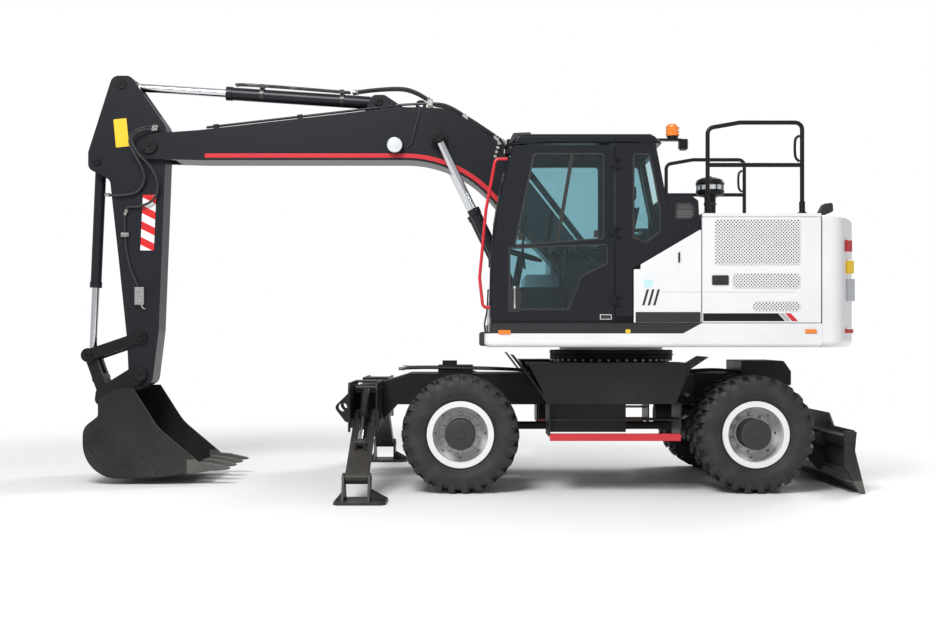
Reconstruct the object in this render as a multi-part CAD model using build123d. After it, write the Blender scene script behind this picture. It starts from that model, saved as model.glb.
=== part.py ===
from build123d import *
import math
import os

# Wheeled excavator of the 15 tonne class, at its real size in millimetres.
# +Z is up and the machine faces -X. Inside this file X is counted from the
# slewing axis; the last lines move everything so that the origin is under the
# middle of the whole machine. The left side, with the cab, is -Y.

# Stance and wheels
FRONT_AXLE_X = -1460
WHEELBASE = 2600
REAR_AXLE_X = FRONT_AXLE_X + WHEELBASE
TYRE_RADIUS = 520
TYRE_WIDTH = 290
TWIN_GAP = 30
HALF_WIDTH = 1250
SEAT_RADIUS = 254
FLANGE_RADIUS = 295
RIM_HALF_WIDTH = 110
RIM_WALL = 10
LUG_COUNT = 26
LUG_DEPTH = 30
SHOULDER_RADIUS = 440
HAND_HOLES = 8
HAND_HOLE_CIRCLE = 215
HUB_CAP_RADIUS = 135
NUT_CIRCLE = 168
NUT_COUNT = 10
FIT = 0.3
RUNNING_GAP = 0.5
PIN_FIT = 0.3
PANEL_GAP = 5

# Undercarriage
FRAME_HALF = 330
FRAME_TOP = 1034
FRAME_BOTTOM = 740
FRAME_WALL = 16
FRAME_REAR_X = 1790
FRONT_FRAME_X = -2450
BRACKET_REAR_X = -2190
CARRIER_HALF = 700
CARRIER_DEPTH = 184
RING_RADIUS = 592
RING_BOTTOM = 1170
RING_TOP = 1256
KINGPIN_Y = 700
STEER_ARM = 200
STEER_EYE = 28
STEP_OUTER = HALF_WIDTH - 50
STEP_INNER = 600

# Stabilisers, seen from the front: y counts outwards
LEG_PIVOT = (850, 660)
LEG_FOOT = (1780, 200)
LEG_WIDTH = 190
LEG_EYE = (620, 92)
LEG_RAM_BASE = (740, 910)
PAD_LENGTH = 434
PAD_WIDTH = 400
PAD_THICK = 22

# Dozer blade
BLADE_PIVOT = (1700, 500)
BLADE_RAM_BASE = (1300, 800)
BLADE_RAM_EYE = (1880, 430)
BLADE_RAM_Y = FRAME_HALF + 100
BLADE_HALF = HALF_WIDTH - 30

# Upper structure
DECK_BOTTOM = 1290
DECK_TOP = 1410
CAB_FLOOR = 1500
TRIM_TOP = CAB_FLOOR - FIT
HOOD_TOP = 2466
LID_AXIS = (1642, HOOD_TOP + 16)
LID_HINGES = (-300, 560)
LID_LEFT = -455
LID_RIGHT = 894
TAIL_RADIUS = 2250
TAIL_X = 1712
PANEL = 30
DOOR_SEAM_X = 655
BAY_FRONT_X = 60
DOOR_END = 12
DOOR_PIN = 6
DOOR_PIN_LENGTH = 60
DOOR_SKIN = 4
DOOR_RIM = 26
GRILLE_PITCH = 41
GRILLE_HOLE = 13
STACK_PLACE = (853, -600)
RAIL_Y = 1150
RAIL_TOP = 3275
RAIL_MIDDLE = 2900
RAIL_FRONT_X = 725
RAIL_REAR_X = 1560
RAIL_RADIUS = 19

# Cab
CAB_TOP = 3150
CAB_LEFT = -HALF_WIDTH
CAB_RIGHT = -360
CAB_WALL = 50
CAB_REAR_X = 400
PILLAR_X = -105
CAB_HINGE = (PILLAR_X - 4, CAB_LEFT - 15)
SEAT_Y = CAB_LEFT + 465
CAB_HINGE_LEVELS = (1700, 2300, 2900)

# Working equipment pins, (x, z)
BOOM_FOOT = (-100, 1720)
BOOM_RAM_BASE = (-800, 1480)
BOOM_RAM_EYE = (-1680, 3284)
ARM_RAM_BASE = (-2261, 3659)
ARM_PIVOT = (-4454, 3214)
ARM_RAM_EYE = (-4740, 3823)
BUCKET_RAM_BASE = (-4974, 3076)
ROCKER_PIVOT = (-4554, 1376)
BUCKET_PIVOT = (-4554, 1017)
LINK_TOP = (-5054, 1206)
LINK_FOOT = (-4906, 794)
BOOM_HALF = 200
ARM_HALF = 140
BOOM_RAM_Y = 290
PLATE = 14
BOOM_TOP_FRONT = (-3967, 3369)
BOOM_TOP_REAR = (-2046, 3590)
LIFT_EYE = (-1852, 3646)
BOOM_LAMP = (-2094, 3215)
PIPE_Y = 168
PIPE_RADIUS = 12

# Bucket
BUCKET_HALF = 530
BUCKET_WALL = 24
TOOTH_COUNT = 4
TOOTH_REACH = 490


# Shared ways of making a solid

def drawn(rows):
    """Closed face through rows of (u, v, corner radius)."""
    line = FilletPolyline([row[:2] for row in rows], radius=[row[2] for row in rows], close=True)
    return make_face(line)


def side(rows, y_from, y_to):
    """Solid from a side view, rows of (x, z, corner radius)."""
    return extrude(Plane.XZ.offset(-y_from) * drawn(rows), amount=y_from - y_to)


def front(rows, x_from, x_to):
    """Solid from a front view, rows of (y, z, corner radius)."""
    return extrude(Plane.YZ.offset(x_from) * drawn(rows), amount=x_to - x_from)


def plan(rows, z_from, z_to):
    """Solid from a top view, rows of (x, y, corner radius)."""
    return extrude(Plane.XY.offset(z_from) * drawn(rows), amount=z_to - z_from)


def block(x_from, x_to, y_from, y_to, z_from, z_to):
    size = (x_to - x_from, y_to - y_from, z_to - z_from)
    return Pos(x_from, y_from, z_from) * Box(*size, align=(Align.MIN, Align.MIN, Align.MIN))


def across(point, radius, y_from, y_to):
    """Round bar along Y at a side-view point (x, z)."""
    x, z = point
    return Plane((x, y_from, z), z_dir=(0, 1, 0)) * Cylinder(
        radius, y_to - y_from, align=(Align.CENTER, Align.CENTER, Align.MIN))


def along(y, z, radius, x_from, x_to):
    """Round bar along X at (y, z)."""
    return Plane((x_from, y, z), z_dir=(1, 0, 0)) * Cylinder(
        radius, x_to - x_from, align=(Align.CENTER, Align.CENTER, Align.MIN))


def upright(x, y, radius, z_from, z_to):
    return Pos(x, y, z_from) * Cylinder(radius, z_to - z_from, align=(Align.CENTER, Align.CENTER, Align.MIN))


def strut(start, end, radius):
    """Round bar between two points."""
    line = Vector(*end) - Vector(*start)
    return Plane(start, z_dir=line) * Cylinder(
        radius, line.length, align=(Align.CENTER, Align.CENTER, Align.MIN))


def pipe(points, bend, radius):
    """Round bar through points, with every corner bent to one radius."""
    line = FilletPolyline(points, radius=bend) if len(points) > 2 else Polyline(points)
    return sweep(Plane(line @ 0, z_dir=line % 0) * Circle(radius), path=line)


def turned(rows, x, z):
    """Solid of revolution about the Y line through (x, z), rows of (radius, y)."""
    outline = Polyline([Vector(x + r, y) for r, y in rows], close=True)
    face = make_face(outline)
    return Pos(0, 0, z) * revolve(face, Axis((x, 0, 0), (0, 1, 0)))


def mirrored(shape):
    return mirror(shape, about=Plane.XZ)


def both(shape):
    return [shape, mirrored(shape)]


def hollow(rows, y_half, wall):
    """Closed box section from a side view: plates of one thickness round a void."""
    outer = side(rows, -y_half, y_half)
    inner = offset(drawn(rows), amount=-wall, kind=Kind.INTERSECTION)
    core = extrude(Plane.XZ.offset(y_half - wall) * inner, amount=-2 * (y_half - wall))
    return outer - core


def mid(a, b, share):
    return tuple(p + (q - p) * share for p, q in zip(a, b))


def at_y(point, y):
    return (point[0], y, point[1])


# Wheels

# One lug and its groove round the tread: (share of the pitch, lies on the groove)
LUG_CORNERS = [(-0.30, True), (-0.22, False), (0.22, False), (0.30, True)]


def ring_face(radius, y):
    """Polygon with one corner per lug pitch, square to Y."""
    return Plane.XZ.offset(-y) * RegularPolygon(radius, LUG_COUNT)


def tyre():
    """Block-pattern tyre round the origin: lugs, sloped walls and bead seats."""
    pitch = 2 * math.pi / LUG_COUNT
    half = TYRE_WIDTH / 2 - 6
    bead = RIM_HALF_WIDTH - 18 - FIT
    flat = math.cos(pitch / 2)
    tip = TYRE_RADIUS / math.cos(LUG_CORNERS[2][0] * pitch)
    points = []
    for index in range(LUG_COUNT):
        for share, in_groove in LUG_CORNERS:
            angle = (index + 0.5 + share) * pitch
            radius = TYRE_RADIUS - LUG_DEPTH if in_groove else tip
            points.append((radius * math.cos(angle), radius * math.sin(angle)))
    tread = Plane.XZ.offset(half) * make_face(Polyline(points, close=True))
    body = extrude(tread, amount=-2 * half)
    over = 5
    spread_out = (SHOULDER_RADIUS - FLANGE_RADIUS) * over / (half - bead)
    wall = loft([ring_face((FLANGE_RADIUS + 1) / flat, bead),
                 ring_face(SHOULDER_RADIUS + spread_out, half + over)], ruled=True)
    body = body - wall - mirrored(wall)
    return body - extrude(ring_face((SEAT_RADIUS + FIT) / flat, -half), amount=-2 * half)


def wheel_pair(x, z):
    """Right-hand twin tyres and their shared rim, disc and hub, toward +Y."""
    outer = HALF_WIDTH - TYRE_WIDTH / 2
    middle = outer - TYRE_WIDTH / 2 - TWIN_GAP / 2
    inner = 2 * middle - outer
    blank = tyre()
    tyres = [Pos(x, centre, z) * blank for centre in (outer, inner)]
    edge = RIM_HALF_WIDTH
    bore = SEAT_RADIUS - RIM_WALL
    wheel = [
        (FLANGE_RADIUS, edge), (FLANGE_RADIUS, edge - 18), (SEAT_RADIUS, edge - 18),
        (SEAT_RADIUS, 18 - edge), (FLANGE_RADIUS, 18 - edge), (FLANGE_RADIUS, -edge),
        (bore - 8, -edge), (HUB_CAP_RADIUS + 60, middle - outer), (90, middle - outer),
        (90, middle - outer + 14), (HUB_CAP_RADIUS + 52, middle - outer + 14), (bore, 24 - edge),
        (bore, edge)]
    outer_wheel = turned([(r, y + outer) for r, y in wheel], x, z)
    inner_wheel = turned([(r, inner - y) for r, y in wheel], x, z)
    face = middle + 14
    hub = turned([
        (0, middle - 145), (140, middle - 145), (140, face), (150, face), (150, face + 45),
        (HUB_CAP_RADIUS, face + 60), (HUB_CAP_RADIUS, outer + edge - 5),
        (HUB_CAP_RADIUS - 20, outer + edge + 10), (0, outer + edge + 10)], x, z)
    rim = outer_wheel + inner_wheel + hub
    for index in range(NUT_COUNT):
        angle = 2 * math.pi * (index + 0.5) / NUT_COUNT
        place = (x + NUT_CIRCLE * math.cos(angle), z + NUT_CIRCLE * math.sin(angle))
        rim += across(place, 14, face - 5, face + 26)
    for index in range(HAND_HOLES):
        angle = 2 * math.pi * index / HAND_HOLES
        place = (x + HAND_HOLE_CIRCLE * math.cos(angle), z + HAND_HOLE_CIRCLE * math.sin(angle))
        rim -= across(place, 14, middle + TWIN_GAP, outer)
    return tyres, rim


# Undercarriage

def chassis_frame():
    x0, x1 = FRONT_FRAME_X, FRAME_REAR_X
    bx, bz = BLADE_PIVOT
    top = FRAME_TOP
    low = FRAME_BOTTOM
    beam = hollow([
        (x0, low - 140, 0), (x0, top - 109, 20), (x0 + 200, top - 94, 0), (x0 + 500, top, 60),
        (REAR_AXLE_X + 160, top, 60), (x1, top - 244, 20), (bx + 75, bz - 75, 40),
        (bx - 75, bz - 75, 40), (bx - 110, low, 30), (BRACKET_REAR_X + 125, low, 0),
        (BRACKET_REAR_X, low - 140, 0)], FRAME_HALF, FRAME_WALL)
    for x in (FRONT_AXLE_X - 115, FRONT_AXLE_X + 115):
        ear = front([
            (-80, low + 1, 0), (80, low + 1, 0), (60, low - 110, 50), (-60, low - 110, 50)], x - 13, x + 13)
        beam += ear - along(0, low - 60, 35 + PIN_FIT, x - 20, x + 20)
    beam += across(BLADE_PIVOT, 34, -FRAME_HALF - 62, FRAME_HALF + 62)
    for shape in both(
            across(BLADE_RAM_BASE, 24, FRAME_HALF - 1, BLADE_RAM_Y + 45)
            + across(BLADE_RAM_BASE, 60, FRAME_HALF - 1, BLADE_RAM_Y - 50)):
        beam += shape
    return [beam, *both(turntable_carrier()), *turntable_and_covers(), *lashing_plates(),
            *both(stabiliser_bracket())]


def turntable_carrier():
    """Open-ended box beside the beam, toward +Y, that carries the slewing ring's edge."""
    half, low = CARRIER_HALF, FRAME_TOP - CARRIER_DEPTH
    carrier = block(-half, half, FRAME_HALF + FIT, STEP_INNER, low, FRAME_TOP)
    return carrier - block(
        FRAME_WALL - half, half - FRAME_WALL, FRAME_HALF, STEP_INNER - FRAME_WALL, low + FRAME_WALL,
        FRAME_TOP - FRAME_WALL)


def turntable_and_covers():
    """Ring pedestal, valve block and rear guard that stand on the beam."""
    base = FRAME_TOP + FIT
    pedestal = upright(0, 0, RING_RADIUS - 32, base, RING_BOTTOM)
    pedestal -= upright(0, 0, RING_RADIUS - 48, base - 1, RING_BOTTOM + 1)
    valves = block(-1680, -1345, -200, 200, base, base + 75) + block(-1640, -1500, -120, 60, base, base + 118)
    guard = side([
        (1200, base, 0), (1200, base + 121, 10), (1600, base + 121, 30), (1670, base + 20, 10),
        (1670, base - 110, 0), (1560, base - 110, 0)], -FRAME_HALF - 20, FRAME_HALF + 20)
    guard -= block(1000, 1700, -FRAME_HALF - FIT, FRAME_HALF + FIT, base - 200, base)
    return [pedestal, valves, guard]


def lashing_plates():
    x0 = FRONT_FRAME_X
    z = FRAME_TOP - 324
    eye = (x0 - 140, z)
    plate = side([
        (x0 - FIT, z + 160, 0), (x0 - 50, z + 170, 20), (x0 - 225, z, 45), (x0 - 110, z - 150, 30),
        (x0 - FIT, z - 110, 0)], 225, 255)
    plate -= across(eye, 40, 220, 260)
    return both(plate)


def stabiliser_bracket():
    """Two hanging plates under a top plate, toward +Y, that carry one leg."""
    x0, x1 = FRONT_FRAME_X, BRACKET_REAR_X
    ram_y, ram_z = LEG_RAM_BASE
    pivot_y, pivot_z = LEG_PIVOT
    top = ram_z + 65
    inner = FRAME_HALF + FIT
    outline = [
        (inner, pivot_z - 60, 0), (inner, top, 0), (STEP_OUTER - 20, top, 25), (STEP_OUTER, top - 60, 10),
        (STEP_OUTER, 540, 20), (STEP_OUTER - 70, 540, 20), (STEP_OUTER - 140, 700, 40),
        (STEP_OUTER - 240, 560, 40), (pivot_y - 90, 560, 40)]
    cheeks = front(outline, x0, x0 + 16) + front(outline, x1 - 16, x1)
    cheeks += block(x0, x1, inner, ram_y - 60, top - 16, top)
    cheeks += along(pivot_y, pivot_z, 30, x0 - 12, x1 + 12)
    cheeks += along(ram_y, ram_z, 20, x0 - 12, x1 + 12)
    return cheeks


def axle_casing(x, reach, end_radius, pinion_x, bulge):
    z = TYRE_RADIUS
    casing = turned([
        (0, -reach), (end_radius, -reach), (95, -340), (bulge - 15, -120), (bulge, -60), (bulge, 60),
        (bulge - 15, 120), (95, 340), (end_radius, reach), (0, reach)], x, z)
    casing += along(0, z, 85, min(x, pinion_x), max(x, pinion_x))
    return casing


def front_axle():
    x, z = FRONT_AXLE_X, TYRE_RADIUS
    axle = axle_casing(x, 560, 72, x + 230, 140)
    axle += along(0, FRAME_BOTTOM - 60, 48, x - 98, x + 98)
    axle += along(0, FRAME_BOTTOM - 60, 35, x - 135, x + 135)
    axle += block(x - 90, x + 90, -60, 60, z + 80, FRAME_BOTTOM - 60)
    for sign in (-1, 1):
        y = sign * KINGPIN_Y
        web = sorted((sign * 545, sign * 600))
        axle += block(x - 75, x + 75, web[0], web[1], z - 150, z + 150)
        axle -= block(x - 80, x - 35, sign * 572 - 34, sign * 572 + 34, z + 8, z + 52)
        for z0 in (z - 150, z + 121):
            outline = [(x - 75, sign * 560, 0), (x + 75, sign * 560, 0), (x + 65, y + sign * 65, 50),
                       (x - 65, y + sign * 65, 50)]
            axle += plan(outline, z0, z0 + 29)
        axle += upright(x, y, 36, z - 165, z + 165)
    axle += across((x - STEER_ARM, z), 46, -250, 250)
    axle += block(x - STEER_ARM, x - 100, -100, -50, z - 40, z + 40)
    axle += block(x - STEER_ARM, x - 100, 50, 100, z - 40, z + 40)
    axle -= across((x - STEER_ARM, z), 15 + FIT, -300, 300)
    return axle


def steering_rod():
    """Through rod of the steering cylinder with an eye at each end."""
    x, z = FRONT_AXLE_X - STEER_ARM, TYRE_RADIUS
    eye_y = KINGPIN_Y - 80
    rod = across((x, z), 15, -eye_y + 20, eye_y - 20)
    for sign in (-1, 1):
        rod += upright(x, sign * eye_y, STEER_EYE, z - 15, z + 14)
    return rod


def knuckle():
    """Steering knuckle toward +Y: kingpin housing, spindle and steering arm."""
    x, z = FRONT_AXLE_X, TYRE_RADIUS
    outer = HALF_WIDTH - TYRE_WIDTH - TWIN_GAP / 2 - 145 - RUNNING_GAP
    body = upright(x, KINGPIN_Y, 92, z - 120, z + 120)
    body += across((x, z), 84, KINGPIN_Y, outer)
    body += across((x, z), 117, outer - 22, outer)
    body += plan([
        (x, KINGPIN_Y - 40, 0), (x, KINGPIN_Y + 40, 0), (x - STEER_ARM - STEER_EYE, KINGPIN_Y - 50, 24),
        (x - STEER_ARM - STEER_EYE, KINGPIN_Y - 110, 24)], z + 16, z + 44)
    return body - upright(x, KINGPIN_Y, 36 + PIN_FIT, z - 200, z + 200)


def rear_axle():
    x, z = REAR_AXLE_X, TYRE_RADIUS
    outer = HALF_WIDTH - TYRE_WIDTH - TWIN_GAP / 2 - 145 - RUNNING_GAP
    axle = axle_casing(x, outer, 100, x - 230, 195)
    for sign in (-1, 1):
        y0, y1 = sorted((sign * 240, sign * 320))
        axle += block(x - 90, x + 90, y0, y1, z, FRAME_BOTTOM - FIT)
        y0, y1 = sorted((sign * 560, sign * outer))
        axle += across((x, z), 150, y0, y1)
    return axle


def driveline():
    """Travel motor and gearbox on the rear axle, and the shaft to the front axle."""
    z = TYRE_RADIUS
    box_rear = REAR_AXLE_X - 230 - FIT
    gearbox = front([
        (-170, z - 130, 50), (170, z - 130, 50), (170, z + 190, 50), (-170, z + 190, 50)],
        box_rear - 210, box_rear)
    gearbox += along(110, z + 100, 105, box_rear - 470, box_rear - 200)
    gearbox += along(0, z, 60, box_rear - 250, box_rear - 200)
    start = FRONT_AXLE_X + 230 + FIT
    end = box_rear - 250 - FIT
    shaft = along(0, z, 38, start + 90, end - 90)
    for x in (start, end - 20):
        shaft += along(0, z, 62, x, x + 20)
    for x in (start + 18, end - 98):
        shaft += block(x, x + 80, -50, 50, z - 22, z + 22) + block(x, x + 80, -22, 22, z - 50, z + 50)
    return [gearbox, shaft]


def side_step():
    """Tool box and steps hung on the right side, toward +Y."""
    y0, y1 = STEP_INNER + FIT, STEP_OUTER
    case = side([(-865, 1150, 0), (560, 1150, 0), (437, 790, 0), (-680, 790, 0)], y0, y1)
    case -= side([(-840, 1138, 0), (540, 1138, 0), (428, 802, 0), (-672, 802, 0)], y0 + 12, y1 - 12)
    lip_front = side([(-680, 790, 0), (-664, 790, 0), (-990, 1222, 0), (-1006, 1222, 0)], y0 + 60, y1)
    lip_rear = side([(437, 790, 0), (560, 1092, 0), (728, 1204, 0), (716, 1206, 0), (548, 1106, 0)], y0 + 60, y1)
    step = case + lip_front + lip_rear
    for x0, x1 in ((-682, -668), (472, 486)):
        step += block(x0, x1, y0 + 150, y1, 500, 795)
    step += block(-668, 10, y0 + 60, y1 - 110, 535, 792)
    step += block(-668, 486, y0 + 300, y1 - 40, 640, 652)
    step += block(-670, 480, y1 - 70, y1, 464, 526)
    return step


# Stabilisers, each function toward +Y

def leg_plane():
    away = Vector(0, LEG_FOOT[0] - LEG_PIVOT[0], LEG_FOOT[1] - LEG_PIVOT[1]).normalized()
    x = (FRONT_FRAME_X + BRACKET_REAR_X) / 2
    return Plane((x, *LEG_PIVOT), x_dir=away, z_dir=(1, 0, 0))


def leg_length():
    return math.hypot(LEG_FOOT[0] - LEG_PIVOT[0], LEG_FOOT[1] - LEG_PIVOT[1])


def leg_local(u, v):
    """Front-view point (y, z) from a place u along and v above the leg's axis."""
    spot = leg_plane().from_local_coords(Vector(u, v, 0))
    return (spot.Y, spot.Z)


def stabiliser_leg():
    length = leg_length()
    u, v = LEG_EYE
    half = LEG_WIDTH / 2
    place = leg_plane()

    def slab(rows, w0, w1):
        return extrude(place.offset(w0) * drawn(rows), amount=w1 - w0)

    outer = [(-62, -55, 50), (-62, 58, 50), (length + 45, 45, 42), (length + 45, -45, 42)]
    leg = slab(outer, -half, half)
    leg -= slab([(80, -41, 10), (80, 40, 10), (length - 70, 34, 10), (length - 70, -34, 10)], 14 - half, half - 14)
    for w0 in (-50, 30):
        leg += slab([(u - 70, 30, 0), (u - 35, v + 34, 30), (u + 35, v + 34, 30), (u + 70, 30, 0)], w0, w0 + 20)
    leg -= place * Cylinder(30 + PIN_FIT, LEG_WIDTH + 20)
    leg -= place * Pos(length, 0) * Cylinder(24 + PIN_FIT, LEG_WIDTH + 20)
    return leg


def stabiliser_pad():
    y, z = LEG_FOOT
    x = (FRONT_FRAME_X + BRACKET_REAR_X) / 2 + 35
    mid_x = (FRONT_FRAME_X + BRACKET_REAR_X) / 2
    pad = plan([
        (x - PAD_LENGTH / 2, y - PAD_WIDTH / 2, 60), (x + PAD_LENGTH / 2, y - PAD_WIDTH / 2, 60),
        (x + PAD_LENGTH / 2, y + PAD_WIDTH / 2, 60), (x - PAD_LENGTH / 2, y + PAD_WIDTH / 2, 60)], 0, PAD_THICK)
    for sign in (-1, 1):
        x0, x1 = sorted((mid_x + sign * (LEG_WIDTH / 2 + 3), mid_x + sign * (LEG_WIDTH / 2 + 23)))
        pad += front([
            (y - 150, PAD_THICK - 1, 0), (y - 45, z + 45, 42), (y + 45, z + 45, 42), (y + 150, PAD_THICK - 1, 0)],
            x0, x1)
        inner, outer = mid_x + sign * (LEG_WIDTH / 2 + 22), x + sign * (PAD_LENGTH / 2 - 12)
        for rib_y in (y - 96, y - 32, y + 32, y + 96):
            pad += side([
                (inner, PAD_THICK - 1, 0), (inner, PAD_THICK + 78, 0), (outer, PAD_THICK + 12, 0),
                (outer, PAD_THICK - 1, 0)], rib_y - 5, rib_y + 5)
    pad += along(y, z, 24, mid_x - LEG_WIDTH / 2 - 30, mid_x + LEG_WIDTH / 2 + 30)
    return pad


def ram(base, eye, radius, rod_radius, barrel_share, inserted, y, eye_half, eye_radius):
    """Barrel and rod of a hydraulic cylinder between two side-view pins, in the plane y.

    The barrel ends at a share of the length, and the rod reaches in from there by inserted."""
    length = math.dist(base, eye)
    end = mid(base, eye, barrel_share)
    heel = mid(base, eye, (eye_radius + 22) / length)
    barrel = strut(at_y(heel, y), at_y(end, y), radius)
    barrel += strut(at_y(base, y), at_y(heel, y), eye_half - 2)
    barrel += across(base, eye_radius, y - eye_half, y + eye_half)
    barrel += strut(at_y(mid(base, eye, barrel_share - 60 / length), y), at_y(end, y), radius + 6)
    bore = mid(base, eye, (eye_radius + 45) / length)
    barrel -= strut(at_y(bore, y), at_y(mid(base, eye, barrel_share + 0.01), y), rod_radius + FIT)
    rod = strut(at_y(mid(base, eye, barrel_share - inserted / length), y), at_y(eye, y), rod_radius)
    rod += across(eye, eye_radius, y - eye_half, y + eye_half)
    return barrel, rod


def stabiliser_ram():
    """The leg's cylinder, made in a side view and turned to the front view."""
    x = (FRONT_FRAME_X + BRACKET_REAR_X) / 2
    eye = leg_local(*LEG_EYE)
    barrel, rod = ram(LEG_RAM_BASE, eye, 42, 25, 0.53, 38, 0, 28, 36)
    tube_half = (BRACKET_REAR_X - FRONT_FRAME_X) / 2 - 19
    base_tube = across(LEG_RAM_BASE, 36, -tube_half, tube_half) - across(LEG_RAM_BASE, 20 + PIN_FIT, -130, 130)
    barrel = barrel - across(LEG_RAM_BASE, 36, -tube_half, tube_half) + base_tube
    turn = Pos(x, 0, 0) * Rot(0, 0, 90)
    return turn * barrel, turn * rod


# Dozer blade

def blade():
    px, pz = BLADE_PIVOT
    ex, ez = BLADE_RAM_EYE
    front_arc = ThreePointArc((2095, 0), (1990, 290), (2005, 560))
    back_arc = ThreePointArc((1989, 560), (1974, 288), (2073, 0))
    face = make_face([front_arc, Line((2005, 560), (1989, 560)), back_arc, Line((2073, 0), (2095, 0))])
    shape = extrude(Plane.XZ.offset(BLADE_HALF) * face, amount=-2 * BLADE_HALF)
    spill = front([
        (-620, 555, 0), (-460, 672, 20), (460, 672, 20), (620, 555, 0)], 1985, 2005)
    shape += spill
    for rows in (
            [(1930, 500, 10), (1930, 420, 10), (1985, 400, 0), (1985, 520, 0)],
            [(1930, 190, 10), (1930, 110, 10), (2040, 90, 0), (1992, 210, 0)]):
        shape += side(rows, -BLADE_HALF + 30, BLADE_HALF - 30)
    for y0, y1 in ((-BLADE_HALF, 24 - BLADE_HALF), (BLADE_HALF - 24, BLADE_HALF)):
        shape += side([
            (1913, 548, 6), (2023, 548, 6), (2007, 380, 60), (2100, 4, 0), (2050, 4, 0), (1913, 250, 30)], y0, y1)
    for y0 in (FRAME_HALF + 8, -FRAME_HALF - 54):
        arm = side([
            (px - 66, pz - 66, 60), (px - 66, pz + 66, 60), (1950, 500, 30), (1990, 420, 0), (2030, 110, 0),
            (1940, 110, 40)], y0, y0 + 46)
        shape += arm - across(BLADE_PIVOT, 34 + PIN_FIT, y0 - 5, y0 + 51)
    for y in (-BLADE_RAM_Y, BLADE_RAM_Y):
        for y0 in (y - 56, y + 34):
            shape += side([
                (ex - 45, ez + 45, 40), (1990, ez + 70, 0), (1990, ez - 60, 0), (ex - 45, ez - 45, 40)], y0, y0 + 22)
    return shape


def blade_rams():
    barrels, rods = [], []
    for y in (-BLADE_RAM_Y, BLADE_RAM_Y):
        barrel, rod = ram(BLADE_RAM_BASE, BLADE_RAM_EYE, 45, 25, 0.62, 80, y, 28, 38)
        barrels.append(barrel - across(BLADE_RAM_BASE, 24 + PIN_FIT, y - 40, y + 40))
        rods.append(rod)
    return barrels, rods


# Upper structure

def door_axes():
    """Pivot places (x, y) of the engine doors and the service door."""
    edge = HALF_WIDTH - PANEL / 2
    return {
        "left_engine_door": (TAIL_X - DOOR_END - PANEL / 2, -edge),
        "right_engine_door": (TAIL_X - DOOR_END - PANEL / 2, edge),
        "left_service_door": (BAY_FRONT_X + PANEL / 2, -edge)}


def deck():
    bottom = plan([
        (-1250, -HALF_WIDTH, 90), (TAIL_X - FIT, -HALF_WIDTH, 0), (TAIL_X - FIT, HALF_WIDTH, 0),
        (-1250, HALF_WIDTH, 90)], DECK_BOTTOM, DECK_TOP)
    bottom = fillet(bottom.edges().group_by(Axis.Z)[0].filter_by(lambda e: e.length > 100), 40)
    bottom -= block(-1180, TAIL_X - 80, -1170, 1170, DECK_BOTTOM + 14, DECK_TOP - 14)
    shape = bottom + upright(0, 0, RING_RADIUS - 92, RING_TOP + FIT, DECK_BOTTOM + 5)
    shape += plan([
        (-1205, -HALF_WIDTH + 4, 60), (TAIL_X - FIT, -HALF_WIDTH + 4, 0), (TAIL_X - FIT, -370, 0),
        (-1205, -370, 20)], DECK_TOP, TRIM_TOP)
    shape += plan([
        (-1205, HALF_WIDTH - 4, 60), (TAIL_X - FIT, HALF_WIDTH - 4, 0), (TAIL_X - FIT, 370, 0),
        (-1205, 370, 20)], DECK_TOP, TRIM_TOP)
    shape -= block(-1150, TAIL_X - 80, -1190, -420, DECK_TOP - 1, TRIM_TOP - 12)
    shape -= block(-1150, TAIL_X - 80, 420, 1190, DECK_TOP - 1, TRIM_TOP - 12)
    fx, fz = BOOM_FOOT
    cx, cz = BOOM_RAM_BASE
    for y0 in (BOOM_HALF + 6, -BOOM_HALF - 32):
        cheek = side([
            (cx - 150, DECK_TOP - 1, 0), (cx - 80, cz + 60, 60), (cx + 90, cz + 70, 60), (fx - 120, fz + 110, 90),
            (fx + 110, fz + 120, 90), (fx + 420, DECK_TOP - 1, 0)], y0, y0 + 26)
        shape += cheek
    shape += across(BOOM_FOOT, 55, -BOOM_HALF - 45, BOOM_HALF + 45)
    shape += across(BOOM_RAM_BASE, 40, -BOOM_RAM_Y - 68, BOOM_RAM_Y + 68)
    for y0 in (BOOM_RAM_Y + 43, -BOOM_RAM_Y - 65):
        shape += side([
            (cx - 90, DECK_TOP - 1, 0), (cx - 70, cz + 70, 60), (cx + 70, cz + 70, 60), (cx + 90, DECK_TOP - 1, 0)],
            y0, y0 + 22)
    for x, y in door_axes().values():
        shape += upright(x, y, DOOR_PIN, TRIM_TOP - 5, TRIM_TOP + DOOR_PIN_LENGTH)
    return shape


def counterweight():
    """Solid casting whose back follows the tail radius."""
    depth = TAIL_RADIUS - TAIL_X
    corner_x = TAIL_X + 0.29 * depth
    outline = make_face([
        Line((corner_x, -HALF_WIDTH), (TAIL_X, -HALF_WIDTH)),
        Line((TAIL_X, -HALF_WIDTH), (TAIL_X, HALF_WIDTH)),
        Line((TAIL_X, HALF_WIDTH), (corner_x, HALF_WIDTH)),
        ThreePointArc((corner_x, HALF_WIDTH), (TAIL_RADIUS, 0), (corner_x, -HALF_WIDTH))])
    shape = extrude(Plane.XY.offset(DECK_BOTTOM) * outline, amount=HOOD_TOP - 15 - DECK_BOTTOM)
    posts = shape.edges().filter_by(Axis.Z).filter_by(lambda e: e.center().X > TAIL_X + 1)
    shape = fillet(posts, min(150, 0.28 * depth))
    for level, radius in ((0, 60), (-1, 35)):
        rim = shape.edges().group_by(Axis.Z)[level].filter_by(lambda e: e.center().X > TAIL_X + 1)
        shape = fillet(rim, min(radius, 0.2 * depth))
    return shape


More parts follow.
